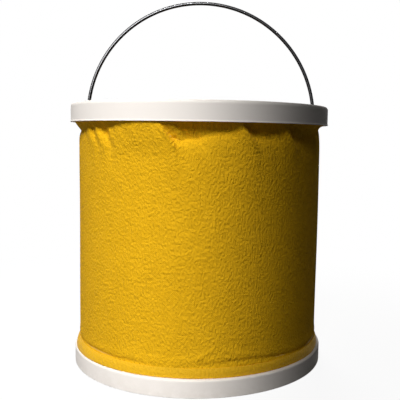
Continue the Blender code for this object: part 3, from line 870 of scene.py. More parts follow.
set_wear(top_fingers, [(clamp_leg_inside - CATCH_REACH, CATCH_HIGH, MM)])
report(top_clamp)
report(top_fingers)

# %% [markdown]
# The foot rim is the same kind of moulding, upright: a skirt that stands on the ground, a soft shoulder and
# a flange that reaches in over the hoop. A snap bead inside the skirt's foot holds the lower clamp ring.

# %% Bottom rim
FOOT_SHOULDER = 2.6 * MM
SNAP_BEAD = 0.6 * MM
SNAP_BEAD_RISE = 1.3 * MM
FOOT_FLANGE = 2.0 * MM
FLANGE_EDGE = 126.91 * MM

foot_inside = FOOT_RADIUS - SKIRT_WALL
foot_corners = [
    (FOOT_RADIUS, FOOT_TOP, FOOT_SHOULDER),
    (FOOT_RADIUS, 0.0, 0.5 * MM),
    (foot_inside, 0.0, 0.3 * MM),
    (foot_inside - SNAP_BEAD, SNAP_BEAD_RISE / 2, 0.2 * MM),
    (foot_inside - SNAP_BEAD, SNAP_BEAD_RISE, 0.15 * MM),
    (foot_inside, SNAP_BEAD_RISE, 0.1 * MM),
    (foot_inside, FOOT_TOP - FOOT_FLANGE, SOFT_EDGE),
    (FLANGE_EDGE, FOOT_TOP - FOOT_FLANGE, SOFT_EDGE),
    (FLANGE_EDGE, FOOT_TOP, 0.5 * MM),
]
bottom_rim = turned("bottom_rim_moulding", filleted(foot_corners, RIM_FILLET_STEPS), [foot_plastic])
set_wear(bottom_rim, [(FOOT_RADIUS, 0.0, 2.2 * MM), (foot_inside, 0.0, 2.0 * MM),
                      (FOOT_RADIUS - MM, FOOT_TOP - MM, 1.2 * MM)])
report(bottom_rim)

# %% [markdown]
# Turned over, the bucket shows its lower clamp ring: a flat plate with a web under the hoop and a
# lip under the floor's edge. Its catches snap in over the bead inside the skirt. They repeat, so
# the ring tree places them.

# %% Bottom clamp ring
PLATE_INSIDE = 118.0 * MM
PLATE_OUTSIDE = 128.1 * MM
PLATE_TOP = 3.4 * MM
SEAT_INSIDE, SEAT_OUTSIDE = 125.0 * MM, 127.4 * MM
SEAT_TOP = 6.8 * MM
LIP_WALL = 1.4 * MM
PLATE_CATCH_REACH = 0.6 * MM
PLATE_CATCH_HALF_WIDTH = 6.6 * MM

plate_bottom = plate_low.z
lip_top = plate_high.z
plate_corners = [
    (PLATE_INSIDE, plate_bottom, 0.3 * MM),
    (PLATE_OUTSIDE, plate_bottom, 0.3 * MM),
    (PLATE_OUTSIDE, PLATE_TOP, 0.3 * MM),
    (SEAT_OUTSIDE, PLATE_TOP, 0.2 * MM),
    (SEAT_OUTSIDE, SEAT_TOP, 0.3 * MM),
    (SEAT_INSIDE, SEAT_TOP, 0.3 * MM),
    (SEAT_INSIDE, PLATE_TOP, 0.2 * MM),
    (PLATE_INSIDE + LIP_WALL, PLATE_TOP, 0.2 * MM),
    (PLATE_INSIDE + LIP_WALL, lip_top, 0.3 * MM),
    (PLATE_INSIDE, lip_top, 0.3 * MM),
]
bottom_clamp = turned("bottom_clamp_moulding", filleted(plate_corners), [clamp_plastic])
plate_catch = block("plate_catch", (PLATE_OUTSIDE - MM, -PLATE_CATCH_HALF_WIDTH, plate_bottom),
                    (PLATE_OUTSIDE + PLATE_CATCH_REACH, PLATE_CATCH_HALF_WIDTH, PLATE_TOP), 0.25 * MM)
plate_catches = ring_of("bottom_clamp_catches", plate_catch, WINDOW_COUNT, WINDOW_FIRST_TURN, clamp_plastic)
set_wear(bottom_clamp, [(PLATE_INSIDE, plate_bottom, 1.5 * MM), (PLATE_OUTSIDE, plate_bottom, 1.5 * MM)])
set_wear(plate_catches, [(PLATE_OUTSIDE, plate_bottom, MM)])
report(bottom_clamp)
report(plate_catches)

# %% [markdown]
# The bail is one piece of wire: a half circle whose ends turn outwards through the rim. A path and a round
# section make it, so a tree sweeps the section along the path and stores metres along and round the wire as
# a UV map for the hair lines.

# %% Bail
BEND_RADIUS = 2.9 * MM
WIRE_REACH = 125.92 * MM
BOW_STEPS = 220
BEND_STEPS = 10
WIRE_SIDES = 24


def wire_tree():
    tree = new_tree("swept_wire", {
        "Wire radius": ("NodeSocketFloat", WIRE_RADIUS), "Sides": ("NodeSocketInt", WIRE_SIDES),
        "Material": ("NodeSocketMaterial", None)})
    enter = tree.nodes.new("NodeGroupInput").outputs
    path = tree_node(tree, "GeometryNodeMeshToCurve", {}, {"Mesh": enter["Geometry"]})
    length = tree_node(tree, "GeometryNodeSplineParameter", {}, {}, "Length")
    kept = tree_node(tree, "GeometryNodeStoreNamedAttribute", {"data_type": "FLOAT", "domain": "POINT"},
                     {"Geometry": path, "Name": "wire_length", "Value": length})
    section = tree_node(tree, "GeometryNodeCurvePrimitiveCircle", {},
                        {"Resolution": enter["Sides"], "Radius": enter["Wire radius"]})
    swept = tree_node(tree, "GeometryNodeCurveToMesh", {},
                      {"Curve": kept, "Profile Curve": section, "Fill Caps": True})
    smooth = tree_node(tree, "GeometryNodeSetShadeSmooth", {}, {"Geometry": swept})
    real = tree_node(tree, "GeometryNodeRealizeInstances", {}, {0: smooth})
    return end_tree(tree, real, enter["Material"])


def path_mesh(name, points, closed=False):
    mesh = bpy.data.meshes.new(name)
    last = len(points) if closed else len(points) - 1
    edges = [(i, (i + 1) % len(points)) for i in range(last)]
    mesh.from_pydata([tuple(p) for p in points], edges, [])
    return link_mesh(name, mesh)


bail_radius = MOUTH_RADIUS - BEND_RADIUS
lift = degrees(asin(2 * BEND_RADIUS / bail_radius))
bend = arc((bail_radius + BEND_RADIUS, BEND_RADIUS), BEND_RADIUS, 270, 180, BEND_STEPS)
wire_end = [(WIRE_REACH, 0.0)] + bend
bow = arc((0.0, 0.0), bail_radius, lift, 180 - lift, BOW_STEPS)
other_end = [(-r, z) for r, z in reversed(wire_end)]
wire_path = [(r, 0.0, PIVOT_Z + z) for r, z in wire_end + bow + other_end]
bail = path_mesh("bail_wire", wire_path)
run_tree(bail, wire_tree(), {"Wire radius": WIRE_RADIUS, "Sides": WIRE_SIDES, "Material": bail_steel})

surface = bail.data.uv_layers.new(name="surface")
wire_length = [value.value for value in bail.data.attributes["wire_length"].data]
for polygon in bail.data.polygons:
    for index in polygon.loop_indices:
        vertex = bail.data.loops[index].vertex_index
        ring_share = (vertex % WIRE_SIDES) / WIRE_SIDES
        surface.data[index].uv = (wire_length[vertex], abs(2 * ring_share - 1) * pi * WIRE_RADIUS)
report(bail)

# %% [markdown]
# Now the cloth, which makes or breaks the likeness. The canvas leaves the rim just inside the skirt, is
# drawn in to a neck and comes out again to the wall. It is gathered unevenly on its hoop, so round the
# bucket the neck is deep in some places and missing in others. The table gives the neck at chosen angles
# from the front, as it is seen in the photograph: where the cloth leaves the rim, how far below the rim the
# neck lies and how far in or out from the wall, and how far the lobe under it swells. Behind, a seeded draw
# continues the same rhythm.

# %% Neck under the rim
WALL_RADIUS = 125.7 * MM         # outside of the cloth, all the way down
CLOTH_TOP = clamp_bottom + 0.2 * MM
CLOTH_BOTTOM = FOOT_TOP + 7.5 * MM
NECK_FRONT = [
    # degrees; exit radius, neck drop, neck, hollow of the slope above it, lobe below it, slow swell (mm)
    (-92, 130.2, 9.8, -2.9, 1.05, 0.1, 0.0),
    (-74, 130.2, 9.8, -2.7, 1.05, 0.2, 0.1),
    (-60, 130.3, 8.4, -1.4, 1.20, 0.8, 0.2),
    (-53.4, 130.5, 6.4, 1.0, 1.20, 2.2, 0.5),
    (-50.2, 130.4, 8.2, -1.2, 1.30, 0.9, 0.3),
    (-46.4, 130.6, 6.2, 1.4, 1.20, 2.6, 0.6),
    (-41.8, 130.2, 11.0, -2.4, 1.40, 0.2, 0.3),
    (-37.4, 130.9, 6.2, 0.9, 1.15, 2.6, 0.8),
    (-31.5, 131.2, 4.6, 3.4, 1.00, 3.6, 1.1),
    (-25.0, 131.5, 3.6, 5.4, 0.95, 4.4, 1.3),
    (-19.5, 131.6, 3.3, 6.3, 0.90, 4.6, 1.5),
    (-15.5, 131.6, 3.2, 6.9, 0.85, 4.9, 1.6),
    (-12.2, 131.6, 3.4, 6.0, 0.90, 4.2, 1.5),
    (-10.4, 131.0, 15.0, -2.4, 0.95, 1.2, 0.9),
    (-7.6, 130.6, 17.5, -3.4, 1.00, 0.6, 0.6),
    (-4.4, 130.2, 15.8, -5.0, 1.45, 0.4, 0.5),
    (-0.8, 130.0, 15.8, -4.8, 1.60, 0.4, 0.4),
    (3.3, 130.2, 13.0, -3.2, 1.70, 0.7, 0.4),
    (8.2, 130.4, 10.0, -2.0, 1.60, 1.1, 0.5),
    (14.6, 130.5, 9.0, -1.4, 1.50, 1.5, 0.7),
    (20.4, 130.9, 6.2, 2.4, 1.30, 3.0, 1.1),
    (24.6, 130.2, 11.8, -2.4, 1.80, 0.4, 0.4),
    (31.6, 130.2, 12.6, -2.3, 1.90, 0.4, 0.3),
    (36.8, 130.4, 10.2, -1.2, 1.60, 1.2, 0.6),
    (41.6, 130.8, 8.0, 1.0, 1.40, 2.6, 0.9),
    (45.6, 130.4, 12.9, -2.4, 1.80, 0.3, 0.4),
    (50.0, 130.2, 15.3, -3.1, 2.00, 0.0, 0.2),
    (60.0, 130.4, 13.3, -3.0, 2.00, 0.1, 0.1),
    (70.0, 131.0, 8.0, -2.2, 2.20, 0.1, 0.1),
    (80.0, 131.6, 5.8, -1.6, 2.40, 0.0, 0.0),
    (92, 131.6, 5.9, -1.6, 2.40, 0.0, 0.0),
]
HOLLOW_EXIT, LOBE_EXIT = 130.2, 130.6  # mm from the axis where the cloth leaves the rim behind
BACK_FOLDS = 19                  # lobes and hollows behind, from one side to the other
FOLD_SEED = 11


def neck_table():
    """The front's table and a seeded one for the back, as arrays round the whole bucket."""
    draw = np.random.default_rng(FOLD_SEED)
    rows = list(NECK_FRONT)
    first, last = NECK_FRONT[-1][0], NECK_FRONT[0][0] + 360
    for i in range(1, BACK_FOLDS):
        angle = first + (last - first) * (i + draw.uniform(-0.28, 0.28)) / BACK_FOLDS
        if i % 2:
            row = (HOLLOW_EXIT, draw.uniform(9.5, 15.5), draw.uniform(-3.2, -2.4), draw.uniform(1.5, 2.0),
                   0.2, 0.3)
        else:
            lobe = draw.uniform(0.8, 2.6)
            row = (LOBE_EXIT + 0.3 * lobe, draw.uniform(5.0, 8.0), lobe - 3.0, draw.uniform(1.2, 1.5),
                   lobe, 0.4 * lobe)
        rows.append((angle, *row))
    rows = [(row[0] - 360 if row[0] > 180 else row[0], *row[1:]) for row in rows]
    return np.array(sorted(rows))


NECK = neck_table()
TWIST = 0.28                     # degrees that the folds lean sideways for each mm down
TWIST_LEVEL, TWIST_END = 8.0, 24.0
print("neck places", len(NECK), "deepest", NECK[:, 3].min(), "mm")

# %% [markdown]
# Between two places of the table the values ease in and out, which gives round lobes. The height of a
# fold's effect comes from a few bell curves, so every part of the wall is one formula of angle and height,
# and the inner skin, the seam and its stitches can all be laid on the very same surface.

# %% The wall as one formula
def eased(table, column, angle):
    """A column of the table at any angle in degrees, eased between its places and closed round the back."""
    places = np.concatenate([[table[-1, 0] - 360], table[:, 0], [table[0, 0] + 360]])
    values = np.concatenate([[table[-1, column]], table[:, column], [table[0, column]]])
    angle = (np.asarray(angle) + 180) % 360 - 180
    right = np.clip(np.searchsorted(places, angle), 1, len(places) - 1)
    share = (angle - places[right - 1]) / (places[right] - places[right - 1])
    share = share * share * (3 - 2 * share)
    return values[right - 1] + share * (values[right] - values[right - 1])


def bell(distance, width):
    return np.exp(-(distance / width) ** 2)


# Ridges that stand out of the wall: start and end as (degrees, mm below the rim), width, height, steep side
CREASES = [
    ((-12.4, 4.5), (-7.0, 23.5), 2.6, 2.0, 1),
    ((20.4, 5.3), (25.9, 23.1), 5.0, 1.2, 1),
    ((41.8, 7.6), (48.0, 19.3), 4.0, 1.3, 1),
    ((-50.9, 6), (-49, 14), 2.0, -0.6, 1),
    ((-41.7, 7.3), (-41.1, 14.2), 1.6, -1.1, -1),
    ((-56.8, 7.8), (-53.8, 17.8), 2.8, 0.5, 1),
    ((6.2, 12.6), (10.2, 27.4), 4.0, 0.45, 1),
    ((-28.4, 8.6), (-24.4, 19.5), 4.0, -0.30, 1),
    ((-38.2, 43), (-25.3, 74.7), 6.0, 0.34, 1),
    ((-44, 56.5), (-35.2, 84.3), 5.0, 0.22, 1),
    ((12.2, 61), (29, 37), 6.0, 0.22, -1),
    ((-11.6, 25.5), (-1.7, 51.2), 6.0, 0.25, 1),
    ((3.3, 213), (11.6, 202.2), 2.6, 0.95, -1),
    ((14.1, 205.2), (26, 212.2), 3.0, 0.60, 1),
    ((-27.2, 212.1), (-17.4, 205.5), 3.6, 0.30, -1),
    ((62, 9), (66, 26), 4.0, 0.5, -1),
    ((-78, 10), (-74, 24), 4.0, 0.45, 1),
]
BACK_CREASES = 16
BACK_START, BACK_SPAN = 96, 168  # degrees over which the creases behind are spread
STEEP_SHARE = 0.42               # a ridge's steep side beside its other side


def back_creases():
    """Seeded ridges for the sides and the back, in the manner of the front's."""
    draw = np.random.default_rng(FOLD_SEED + 1)
    made = []
    for i in range(BACK_CREASES):
        angle = BACK_START + BACK_SPAN * (i + draw.uniform(0.1, 0.9)) / BACK_CREASES
        start = draw.uniform(3, 8)
        slant = draw.uniform(-7, 7)
        made.append(((angle, start), (angle + slant, start + draw.uniform(9, 24)), draw.uniform(3, 5),
                     draw.uniform(0.35, 0.95), 1 if slant > 0 else -1))
    return made


def crease_lift(angle, drop):
    """How far the ridges push the cloth out, in mm, at angles in degrees and drops in mm below the rim."""
    total = np.zeros(np.broadcast(angle, drop).shape)
    mm_per_degree = radians(1) * WALL_RADIUS / MM
    for (a0, s0), (a1, s1), width, height, steep in CREASES + back_creases():
        across = ((np.asarray(angle) - a0 + 180) % 360 - 180) * mm_per_degree
        down = np.asarray(drop) - s0
        run = np.array([(a1 - a0) * mm_per_degree, s1 - s0])
        length = np.hypot(*run)
        run = run / length
        along = across * run[0] + down * run[1]
        side = across * run[1] - down * run[0]
        beyond = np.maximum(np.maximum(-along, along - length), 0)
        narrow = np.where(side * steep > 0, STEEP_SHARE * width, width)
        fade = np.clip(1.1 - along / length, 0.12, 1.0)
        total += height * fade * bell(side, narrow) * bell(beyond, 0.8 * width)
    return total


print("creases", len(CREASES) + BACK_CREASES)

# %% Wall radius
RIPPLE_DRAWS = 7
NECK_TURN = 5.5                  # mm over which the cloth turns back out below its neck
SWELL_START, SWELL_MID, SWELL_END = 5.0, 32.0, 68.0
LEAN = 0.5 * MM
LEAN_FULL, LEAN_ENDS = 0.7, 0.86  # shares of the wall's height
OUTERMOST = 131.6                # mm from the axis that no fold passes, so that it folds up inside the skirt
EASED_OFF = 0.25                 # mm over which a fold slows down before that
GATHERS, GATHERS_REACH = 0.55, 13.0  # mm in and out, and mm down from the rim
SLOW_WAVES, SLOW_START = 0.40, 30.0  # mm in and out, and mm down where they are full
EXIT_LENGTH = 3.5                # mm below the rim over which the folds come in
BAND_GAP, BAND_SETTLE = 0.6, 9.0  # mm above the binding where the folds end, and over which they fade
PINCH_RISE = 1.3                 # mm above the binding where the stitch line pulls the cloth in
PINCH_MORE, PINCH_MORE_AT, PINCH_MORE_WIDTH = 3.6, 22, 17  # mm higher round this angle, in degrees
PINCH_DEPTH, PINCH_HEIGHT = 0.90, 1.7
ROLL_ABOVE, ROLL_OUT, ROLL_HEIGHT = 5.2, 0.45, 3.6  # mm: a soft roll of cloth over the pinch
FLUSH_AT, FLUSH_WIDTH = 9.5, 15  # degrees left of the front where the band lies flush with the wall
FLUSH_OUT, FLUSH_HEIGHT = 0.85, 7.0


def ripples(angle, drop):
    """Small gathers under the rim and slow unevenness of the whole wall, in mm."""
    draw = np.random.default_rng(FOLD_SEED + 2)
    turn = np.radians(angle)
    gathers = np.zeros(np.broadcast(angle, drop).shape)
    slow = np.zeros_like(gathers)
    for _ in range(RIPPLE_DRAWS):
        count, slant, phase = draw.integers(24, 72), draw.uniform(-1.2, 1.2), draw.uniform(0, tau)
        gathers += np.cos(count * turn + slant * drop / 4 + phase) / RIPPLE_DRAWS
        count, slant, phase = draw.integers(2, 11), draw.uniform(-1, 1), draw.uniform(0, tau)
        slow += np.cos(count * turn + slant * drop / 26 + phase) / RIPPLE_DRAWS
    return (GATHERS * gathers * np.exp(-drop / GATHERS_REACH)
            + SLOW_WAVES * slow * np.clip(drop / SLOW_START, 0, 1))


def ease(start, end, value):
    share = np.clip((value - start) / (end - start), 0, 1)
    return share * share * (3 - 2 * share)


def flush_share(angle):
    """1 where the band lies flush with the wall and 0 away from there."""
    return bell(np.asarray(angle) + FLUSH_AT, FLUSH_WIDTH)


def wall_radius(angle, z):
    """Outside of the cloth at an angle in degrees from the front and a height in metres."""
    drop = (CLOTH_TOP - z) / MM
    slanted = angle - TWIST * (np.minimum(drop, TWIST_END) - TWIST_LEVEL)
    leave, neck_drop, neck, hollow, lobe, swell = (eased(NECK, column, slanted) for column in range(1, 7))
    plain = WALL_RADIUS / MM
    above = np.clip(1 - drop / neck_drop, 0, 1)
    below = np.maximum(drop - neck_drop, 0)
    turned_out = 1 - np.exp(-below / NECK_TURN)
    grown = ease(SWELL_START, SWELL_MID, below)
    outer = lobe * (1 - grown) + swell * grown * (1 - ease(SWELL_MID, SWELL_END, below))
    level = plain + neck * (1 - turned_out) + outer * turned_out
    radius = level + (leave - plain - neck) * above ** hollow
    free = np.clip(drop / EXIT_LENGTH, 0, 1)
    near_band = (z - binding_high.z) / MM
    settle = np.clip((near_band - BAND_GAP) / BAND_SETTLE, 0, 1)
    radius += free * settle * (crease_lift(angle, drop) + ripples(angle, drop))
    pinch_at = PINCH_RISE + PINCH_MORE * bell(np.asarray(angle) - PINCH_MORE_AT, PINCH_MORE_WIDTH)
    flush = flush_share(angle)
    pinch_deep = (PINCH_DEPTH + 0.15 * np.cos(np.radians(angle) * 9 + 1.0)) * (1 - 0.95 * flush)
    radius -= pinch_deep * bell(near_band - pinch_at, PINCH_HEIGHT) * np.clip(near_band + 0.4, 0, 1)
    radius += ROLL_OUT * bell(near_band - pinch_at - ROLL_ABOVE, ROLL_HEIGHT)
    radius += FLUSH_OUT * flush * bell(near_band, FLUSH_HEIGHT)
    past = radius - OUTERMOST
    radius -= free * (np.hypot(past, EASED_OFF) + past) / 2
    return radius * MM


def lean(z):
    """How far the whole ring of cloth stands to the right at a height: none at its two ends."""
    share = (z - CLOTH_BOTTOM) / (CLOTH_TOP - CLOTH_BOTTOM)
    return LEAN * ease(0.0, LEAN_FULL, share) * (1 - ease(LEAN_ENDS, 1.0, share))


NORMAL_TURN, NORMAL_DROP = 0.1, 0.15 * MM  # degrees and metres between which the normal is taken


def on_wall(angle, z, outwards=0.0):
    """A point of the wall, or one that lies outwards from it along its normal."""
    def point(a, height):
        turn, r = np.radians(a), wall_radius(a, height)
        x = r * np.sin(turn) + lean(height)
        return np.stack([x, -r * np.cos(turn), np.broadcast_to(height, r.shape)], axis=-1)

    here = point(angle, z)
    if outwards == 0:
        return here
    across = point(np.asarray(angle) + NORMAL_TURN, z) - point(np.asarray(angle) - NORMAL_TURN, z)
    down = point(angle, np.asarray(z) - NORMAL_DROP) - point(angle, np.asarray(z) + NORMAL_DROP)
    normal = np.cross(down, across)
    normal /= np.linalg.norm(normal, axis=-1, keepdims=True)
    return here + outwards * normal


sample = on_wall(np.array([0.0]), np.array([0.15]), CLOTH)[0]
print("a point at the front, one thickness out:", sample.round(4))

# %% Cloth wall
FRONT_REACH = 60.0               # degrees to each side of the front with close columns, for the crisp folds
FRONT_PITCH, BACK_PITCH = 0.3, 0.8
OUTER_ROWS = ((0, 0.4), (3.2, 0.72), (32, 4.6), (190, 1.25))  # mm below the top, mm between rows
INNER_ROWS = ((0, 1.4), (4, 2.8), (34, 16.0), (192, 6.0))


def heights(*parts):
    """Heights from the top down: each part is (mm below the top, mm between rows) up to the next part."""
    drops = []
    full = (CLOTH_TOP - CLOTH_BOTTOM) / MM
    ends = [start for start, _ in parts[1:]] + [full]
    for (start, pitch), end in zip(parts, ends):
        drops += list(np.linspace(start, end, max(int(round((end - start) / pitch)), 1), endpoint=False))
    return CLOTH_TOP - np.array(drops + [full]) * MM


def double_skin(name, angles, outer_rows, inner_rows, inside, materials):
    """The wall's formula and a skin inside it, joined at their ends."""
    a, z = np.meshgrid(angles, outer_rows, indexing="ij")
    outer = on_wall(a, z)
    a, z = np.meshgrid(angles, inner_rows[::-1], indexing="ij")
    inner = on_wall(a, z, inside)
    points = np.concatenate([outer, inner], axis=1)
    row_heights = np.concatenate([outer_rows, inner_rows[::-1], outer_rows[:1]])
    around = np.radians(np.append(angles, angles[0] + 360) - angles[0]) * WALL_RADIUS

    def surface(column, row):
        return (around[column], row_heights[row])

    return grid_mesh(name, points, surface, materials, second_from=len(outer_rows))


wall_angles = np.concatenate([np.arange(-180, -FRONT_REACH, BACK_PITCH),
                              np.arange(-FRONT_REACH, FRONT_REACH - 0.01, FRONT_PITCH),
                              np.arange(FRONT_REACH, 180 - 0.01, BACK_PITCH)])
cloth = double_skin("canvas_wall", wall_angles, heights(*OUTER_ROWS), heights(*INNER_ROWS), -CLOTH,
                    [wall_canvas, coated_inside])
report(cloth)
print("columns", len(wall_angles))

# %% [markdown]
# Above the rim's edge the canvas runs up behind the skirt and over its hoop. Below the wall it is folded into
# the binding. These two hems stay with their rims when the bucket folds, so they are pieces of their own.

# %% Hems
HEM_STEPS = 14
HEM_START, HEM_END = 200, -8     # degrees round the hoop
HEM_EXIT = [(130.35 * MM, CLOTH_TOP + 1.4 * MM), (130.2 * MM, CLOTH_TOP)]
FOOT_HEM_LAP = 0.2 * MM          # left between the foot hem and the wall above it


def thick_line(line, wall):
    """Outline of a sheet whose middle follows a line of (r, z) points."""
    line = np.array(line)
    along = np.gradient(line, axis=0)
    along /= np.linalg.norm(along, axis=1, keepdims=True)
    normal = np.stack([-along[:, 1], along[:, 0]], axis=1)
    left, right = line + normal * wall / 2, line - normal * wall / 2
    return [tuple(p) for p in np.concatenate([left, right[::-1]])]


hoop_radius = hoop_high.x - HOOP_WIRE_RADIUS
hoop_z = (hoop_high.z + hoop_low.z) / 2
hem_round = HOOP_WIRE_RADIUS + CLEARANCE + CLOTH / 2
hem_line = arc((hoop_radius, hoop_z), hem_round, HEM_START, HEM_END, HEM_STEPS) + HEM_EXIT
top_hem = turned("canvas_top_hem", thick_line(hem_line, CLOTH), [wall_canvas])
foot_wall = WALL_RADIUS - CLOTH / 2
foot_hem_line = [(foot_wall, wall_low.z), (foot_wall, CLOTH_BOTTOM - FOOT_HEM_LAP)]
foot_hem = turned("canvas_foot_hem", thick_line(foot_hem_line, CLOTH), [wall_canvas])
report(top_hem)
report(foot_hem)

# %% [markdown]
# A narrow tape is folded round the canvas's lower edge and round the hoop. Sewn tape is never dead
# straight, so its upper edges wander by a few tenths of a millimetre and lift slightly between the
# stitches. At the bucket's two sides its foot slumps out over the edge of the foot rim.

# %% Binding
BINDING_COLUMNS = 480
BINDING_LOOP_STEPS = 14
BAND_PUFF = 0.75                 # mm that the band's middle stands out
BAND_PULL = 0.28                 # mm that its stitched edge is pulled in
BAND_WANDER = ((0.22, 5, 0.6), (0.16, 13, 2.1), (0.10, 31, 4.0))  # mm up and down, waves round, phase
STITCH_PUFF = 0.05               # mm that it lifts between two stitches
SLUMP = 0.4                      # mm that its foot hangs out over the rim all round
SLUMP_LEFT, SLUMP_LEFT_AT, SLUMP_LEFT_WIDTH = 3.3, -58, 40  # and mm more round these angles, in degrees
SLUMP_RIGHT, SLUMP_RIGHT_AT, SLUMP_RIGHT_WIDTH = 1.5, 66, 26
SLUMP_START = 0.045              # share of the band's height over which the slump comes in
LOOP_START, LOOP_END = 40, -220  # degrees round the hoop
OUTER_LEG_ROWS, INNER_LEG_ROWS = 26, 6
LEG_FOOT, INNER_LEG_TOP = 3.0 * MM, 5.0 * MM  # below and above the foot rim's top
STITCH_PITCH = 3.4 * MM


def binding_line():
    outer_leg = binding_outer_face - TAPE / 2
    inner_leg = WALL_RADIUS - CLOTH - CLEARANCE - TAPE / 2
    foot_hoop_radius = foot_hoop_high.x - HOOP_WIRE_RADIUS
    foot_hoop_z = (foot_hoop_high.z + foot_hoop_low.z) / 2
    loop = arc((foot_hoop_radius, foot_hoop_z), foot_loop_round, LOOP_START, LOOP_END, BINDING_LOOP_STEPS)
    leg_foot, leg_top = FOOT_TOP - LEG_FOOT, FOOT_TOP + INNER_LEG_TOP
    outer = [(outer_leg, z) for z in np.linspace(binding_high.z, leg_foot, OUTER_LEG_ROWS)]
    inner = [(inner_leg, z) for z in np.linspace(leg_foot, leg_top, INNER_LEG_ROWS)]
    return outer + loop + inner


binding_outer_face = WALL_RADIUS + CLEARANCE + TAPE
foot_loop_round = HOOP_WIRE_RADIUS + CLEARANCE + TAPE / 2
binding_outline = thick_line(binding_line(), TAPE)
binding = turned("hem_binding", binding_outline, [binding_tape], BINDING_COLUMNS)
band_top = binding_high.z
for vertex in binding.data.vertices:
    turn = atan2(vertex.co.x, -vertex.co.y)
    rise = max(0.0, (vertex.co.z - FOOT_TOP) / (band_top - FOOT_TOP))
    wander = sum(height * cos(waves * turn + phase) for height, waves, phase in BAND_WANDER)
    puff = STITCH_PUFF * cos(tau * turn * WALL_RADIUS / STITCH_PITCH) + 0.06 * cos(17 * turn)
    flat = Vector((vertex.co.x, vertex.co.y, 0)).normalized()
    if vertex.co.xy.length > WALL_RADIUS:
        flush = float(flush_share(degrees(turn)))
        puff += BAND_PUFF * sin(pi * min(rise, 1.0)) * (1 - 0.6 * flush) - BAND_PULL * (1 - flush) * rise ** 4
        slump = (SLUMP + SLUMP_LEFT * bell(degrees(turn) - SLUMP_LEFT_AT, SLUMP_LEFT_WIDTH)
                 + SLUMP_RIGHT * bell(degrees(turn) - SLUMP_RIGHT_AT, SLUMP_RIGHT_WIDTH))
        vertex.co += flat * float(slump * ease(0.0, SLUMP_START, rise) * (1 - rise) ** 0.9) * MM
    vertex.co += flat * puff * rise ** 0.5 * MM
    vertex.co.z += wander * rise * MM
report(binding)

# %% [markdown]
# Stitches follow a line on the cloth. The tree cuts the line into even steps, lays a small rounded bead of
# thread along each and lets every one wander a hair, so that the row looks sewn and not printed.

# %% Stitches with Geometry Nodes
STITCH_LENGTH = 2.5 * MM
THREAD_WIDTH = 0.55 * MM
STITCH_WANDER = 0.10 * MM


def stitch_tree():
    tree = new_tree("stitch_row", {
        "Pitch": ("NodeSocketFloat", STITCH_PITCH), "Stitch length": ("NodeSocketFloat", STITCH_LENGTH),
        "Thread width": ("NodeSocketFloat", THREAD_WIDTH), "Wander": ("NodeSocketFloat", STITCH_WANDER),
        "Seed": ("NodeSocketInt", 3), "Material": ("NodeSocketMaterial", None)})
    enter = tree.nodes.new("NodeGroupInput").outputs
    path = tree_node(tree, "GeometryNodeMeshToCurve", {}, {"Mesh": enter["Geometry"]})
    steps = tree_node(tree, "GeometryNodeResampleCurve", {"mode": "LENGTH"},
                      {"Curve": path, "Length": enter["Pitch"]})
    tangent = tree_node(tree, "GeometryNodeInputTangent", {}, {})
    facing = tree_node(tree, "FunctionNodeAlignRotationToVector", {"axis": "X"}, {"Vector": tangent})
    bead = tree_node(tree, "GeometryNodeMeshUVSphere", {}, {"Segments": 6, "Rings": 5, "Radius": 0.5})
    length, width = enter["Stitch length"], enter["Thread width"]
    size = tree_node(tree, "ShaderNodeCombineXYZ", {}, {0: length, 1: width, 2: width})
    shift = tree_node(tree, "FunctionNodeRandomValue", {"data_type": "FLOAT_VECTOR"},
                      {"Min": (-1, -1, -1), "Max": (1, 1, 1), "Seed": enter["Seed"]})
    offset = tree_node(tree, "ShaderNodeVectorMath", {"operation": "SCALE"},
                       {0: shift, "Scale": enter["Wander"]})
    moved = tree_node(tree, "GeometryNodeSetPosition", {}, {"Geometry": steps, "Offset": offset})
    placed = tree_node(tree, "GeometryNodeInstanceOnPoints", {},
                       {"Points": moved, "Instance": bead, "Rotation": facing, "Scale": size})
    real = tree_node(tree, "GeometryNodeRealizeInstances", {}, {0: placed})
    smooth = tree_node(tree, "GeometryNodeSetShadeSmooth", {}, {"Geometry": real})
    return end_tree(tree, smooth, enter["Material"])


STITCH_TREE = stitch_tree()


def stitch_row(name, points, closed, seed):
    row = path_mesh(name, points, closed)
    run_tree(row, STITCH_TREE, {
        "Pitch": STITCH_PITCH, "Stitch length": STITCH_LENGTH, "Thread width": THREAD_WIDTH,
        "Wander": STITCH_WANDER, "Seed": seed, "Material": thread})
    report(row)
    return row


STITCH_INSET = 2.0 * MM          # stitches lie this far below the binding's edge
BAND_THREAD_LIFT = 0.08 * MM     # how far the middle of the thread lies outside the cloth
BAND_STITCH_SEED = 3
turns = np.linspace(0, tau, BINDING_COLUMNS, endpoint=False)
row_radius = binding_outer_face + BAND_THREAD_LIFT
stitch_ring = [(row_radius * cos(t), row_radius * sin(t), band_top - STITCH_INSET) for t in turns]
binding_stitches = stitch_row("binding_stitches", stitch_ring, True, BAND_STITCH_SEED)

# %% [markdown]
# The canvas tube is closed by one felled seam at the back: both edges are folded into each other and sewn
# down twice. It stands one cloth thickness proud. It is laid on the wall's formula, so it follows each fold.

# %% Back seam
SEAM_ANGLE = 180.0
SEAM_HALF_WIDTH = 6.0 * MM
SEAM_PROUD = 0.75 * MM
SEAM_STITCH_HALF_GAP = 3.6 * MM
SEAM_COLUMNS = 22
SEAM_ROWS = ((0.6, 0.8), (34, 4.0), (190, 1.6))
SEAM_LIFT = 0.05 * MM            # the seam's underside lies this far outside the wall
SEAM_THREAD_LIFT = 0.05 * MM
SEAM_STITCH_STEPS = 120
SEAM_STITCH_TOP, SEAM_STITCH_FOOT = 1.5 * MM, 1.2 * MM
SEAM_STITCH_SEED = 20

